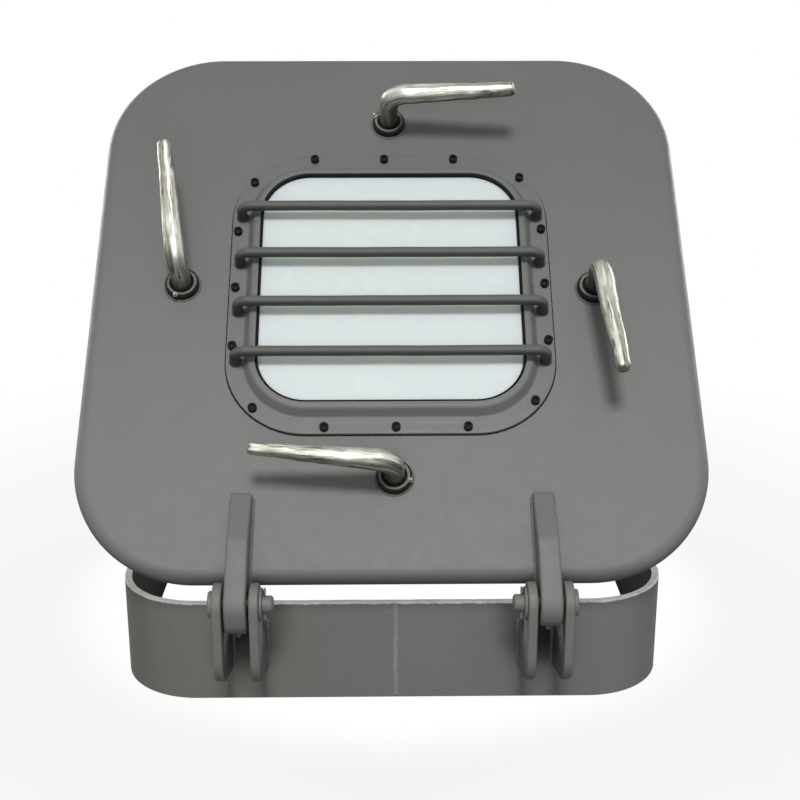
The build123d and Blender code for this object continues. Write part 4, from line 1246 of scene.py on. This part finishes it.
class HATCH_OT_wedges(bpy.types.Operator):
    """Make the four wedges inside the coaming that the dogs' noses turn under"""
    bl_idname = "hatch.wedges"
    bl_label = "Dog wedges"

    def execute(self, context):
        sizes = context.scene.hatch_sizes
        leg, ripple = sizes.weld_leg * 1000, sizes.weld_ripple * 1000
        low, top = 85.1, 100.1
        line = outline([(-14, low), (10, low), (44, low + 7), (44, top), (-14, top)], [0, 14, 0, 0, 0])
        for quarter, name in enumerate(DOG_EDGE):
            shell = Shell()
            shell.skin(plate_rings(line, 274.0, 299.9, 1.5), first=True, last=True)
            shell.moved(lambda p: p[:, [0, 2, 1]])
            seam = [(-14.3, 299.5, low + 3), (-14.3, 299.5, top + 0.3), (44.3, 299.5, top + 0.3), (44.3, 299.5, 94)]
            weld(shell, bent_line(seam, [3, 3], 6, 6), (0, 1, 0), leg, ripple, 90 + quarter, flat=0.85)
            turn = radians(-90 * quarter)
            across, along = (cos(turn), sin(turn), 0), (-sin(turn), cos(turn), 0)
            shift = DOG_CENTRE[name][quarter % 2]
            centre = (shift, 0, 0) if quarter % 2 == 0 else (0, shift, 0)
            shell.moved(lambda p: placed(p, centre, across, along, (0, 0, 1)))
            # the wedges take the inside coating, darkened to near black as painted shade
            make_piece(f"dog_wedge_{name}_block", shell, finish("inner"), "coaming", [f"dog_wedge_{name}"],
                       40)
        return {"FINISHED"}


# ---------------------------------------------------------------- the studio

class HATCH_OT_studio(bpy.types.Operator):
    """Lay the pale floor and set the camera, the lamps and the white surround"""
    bl_idname = "hatch.studio"
    bl_label = "Studio"

    def execute(self, context):
        scene = context.scene
        scene.view_settings.view_transform = "Standard"
        self.floor()
        self.camera(scene)
        self.lamps(scene)
        self.surround(scene)
        return {"FINISHED"}

    def floor(self):
        """A disc of rings, at r = 30 m at most, so that its edge lies past the horizon line of the view."""
        shell = Shell()
        reach = np.array([0.2, 1000, 3000, 30000])
        shell.skin(turned_rings(np.stack([reach, np.full(4, -0.5)], -1), 64), first=True)
        mesh = mesh_from("studio_floor", shell, 30)
        if mesh.polygons[0].normal.z < 0:
            mesh.flip_normals()
        floor = bpy.data.objects.new("studio_floor", mesh)
        bpy.context.scene.collection.objects.link(floor)
        r = Recipe("studio_floor_pale")
        path = r.add("ShaderNodeLightPath")
        grain = r.mix(r.noise(60, 3), (0.80, 0.80, 0.80), (0.83, 0.83, 0.83))
        r.set(r.mix(path.outputs["Is Camera Ray"], (0.22, 0.22, 0.22), grain), 0.9, Specular_IOR_Level=0.1)
        distance = r.add("ShaderNodeVectorMath", {"operation": "LENGTH"})
        r.feed(distance.inputs[0], r.place)
        away = r.level(distance.outputs["Value"], 0.50, 1.2, 0.80, 1.0)
        # painted light: inside the coaming the floor is lifted towards white for the camera, over the shade that
        # falls there
        inside = r.level(distance.outputs["Value"], 0.34, 0.46, 0.23, 0.0)
        seen = r.maths("MULTIPLY", path.outputs["Is Camera Ray"], r.maths("ADD", away, inside))
        glow = r.add("ShaderNodeEmission", Strength=1.0)
        glow.inputs["Color"].default_value = (1, 1, 1, 1)
        both = r.add("ShaderNodeMixShader")
        r.feed(both.inputs["Fac"], seen)
        r.tree.links.new(r.shader.outputs["BSDF"], both.inputs[1])
        r.tree.links.new(glow.outputs["Emission"], both.inputs[2])
        r.tree.links.new(both.outputs["Shader"], r.output.inputs["Surface"])
        floor.data.materials.append(r.material)

    def camera(self, scene):
        """A 58.45 mm lens, 17 degrees above the deck and almost square to the hinges."""
        data = bpy.data.cameras.new("studio_camera")
        data.lens = 58.45
        data.sensor_width = 36.0
        data.clip_start, data.clip_end = 0.05, 100.0
        camera = bpy.data.objects.new("studio_camera", data)
        scene.collection.objects.link(camera)
        right = Vector((0.99992, -0.01251, -0.00082)).normalized()
        back = Vector((-0.01173, -0.95634, 0.29203)).normalized()
        up = back.cross(right).normalized()
        right = up.cross(back)
        turn = Matrix((right, up, back)).transposed().to_4x4()
        camera.matrix_world = Matrix.Translation((-0.00794, -1.60188, 0.74255)) @ turn
        scene.camera = camera

    def lamps(self, scene):
        """A soft key lamp almost square to the open lid, a weak one on each side of it, a low broad one in front,
        and two low broad ones behind for the back and the sides."""
        for name, place, size, power in (
            ("studio_key", (0.0, -5.46, 6.24), 1.8, 345.0),
            ("studio_left", (-2.77, -5.13, 5.87), 1.3, 14.0),
            ("studio_right", (2.77, -5.13, 5.87), 1.3, 14.0),
            ("studio_front", (0.0, -5.0, 1.3), 2.6, 40.0),
            ("studio_rear_left", (-4.2, 4.4, 1.5), 2.4, 170.0),
            ("studio_rear_right", (4.2, 4.4, 1.5), 2.4, 170.0),
        ):
            data = bpy.data.lights.new(name, "AREA")
            data.shape = "DISK"
            data.size = size
            data.energy = power
            lamp = bpy.data.objects.new(name, data)
            scene.collection.objects.link(lamp)
            lamp.location = place
            way = Vector((0, -0.1, 0.3)) - Vector(place)
            lamp.rotation_euler = way.to_track_quat("-Z", "Y").to_euler()

    def surround(self, scene):
        """White to the camera and in reflections, and a plain grey light on everything else."""
        world = bpy.data.worlds.new("studio_surround")
        world.use_nodes = True
        tree = world.node_tree
        tree.nodes.clear()
        path = tree.nodes.new("ShaderNodeLightPath")
        most = tree.nodes.new("ShaderNodeMath")
        most.operation = "MAXIMUM"
        most_all = tree.nodes.new("ShaderNodeMath")
        most_all.operation = "MAXIMUM"
        tree.links.new(path.outputs["Is Camera Ray"], most.inputs[0])
        tree.links.new(path.outputs["Is Glossy Ray"], most.inputs[1])
        tree.links.new(most.outputs[0], most_all.inputs[0])
        tree.links.new(path.outputs["Is Transmission Ray"], most_all.inputs[1])
        strength = tree.nodes.new("ShaderNodeMapRange")
        tree.links.new(most_all.outputs[0], strength.inputs["Value"])
        strength.inputs["To Min"].default_value = 0.11
        strength.inputs["To Max"].default_value = 1.0
        ground = tree.nodes.new("ShaderNodeBackground")
        ground.inputs["Color"].default_value = (1, 1, 1, 1)
        tree.links.new(strength.outputs["Result"], ground.inputs["Strength"])
        output = tree.nodes.new("ShaderNodeOutputWorld")
        tree.links.new(ground.outputs["Background"], output.inputs["Surface"])
        scene.world = world


# ---------------------------------------------------------------- the sidebar

OPERATORS = (
    HATCH_OT_coaming, HATCH_OT_lugs, HATCH_OT_pins, HATCH_OT_lid, HATCH_OT_seals, HATCH_OT_arms, HATCH_OT_window,
    HATCH_OT_guards, HATCH_OT_dogs, HATCH_OT_wedges, HATCH_OT_studio,
)


class HATCH_PT_tools(bpy.types.Panel):
    """Lists the steps that build the hatch and the values that they use"""
    bl_idname = "HATCH_PT_tools"
    bl_label = "Deck hatch"
    bl_space_type = "VIEW_3D"
    bl_region_type = "UI"
    bl_category = "Deck hatch"

    def draw(self, context):
        layout = self.layout
        for group in (context.scene.hatch_sizes, context.scene.hatch_finishes):
            box = layout.box()
            for name in group.__annotations__:
                box.prop(group, name)
        column = layout.column(align=True)
        for operator in OPERATORS:
            column.operator(operator.bl_idname)


CLASSES = (HatchSizes, HatchFinishes, *OPERATORS, HATCH_PT_tools)


def register():
    for cls in CLASSES:
        bpy.utils.register_class(cls)
    bpy.types.Scene.hatch_sizes = PointerProperty(type=HatchSizes)
    bpy.types.Scene.hatch_finishes = PointerProperty(type=HatchFinishes)


def unregister():
    del bpy.types.Scene.hatch_finishes
    del bpy.types.Scene.hatch_sizes
    for cls in reversed(CLASSES):
        bpy.utils.unregister_class(cls)


def main():
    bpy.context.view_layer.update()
    register()
    bpy.ops.hatch.coaming()
    bpy.ops.hatch.lugs()
    bpy.ops.hatch.pins()
    bpy.ops.hatch.lid()
    bpy.ops.hatch.seals()
    bpy.ops.hatch.arms()
    bpy.ops.hatch.window()
    bpy.ops.hatch.guards()
    bpy.ops.hatch.dogs()
    bpy.ops.hatch.wedges()
    bpy.ops.hatch.studio()


if __name__ == "__main__":
    main()
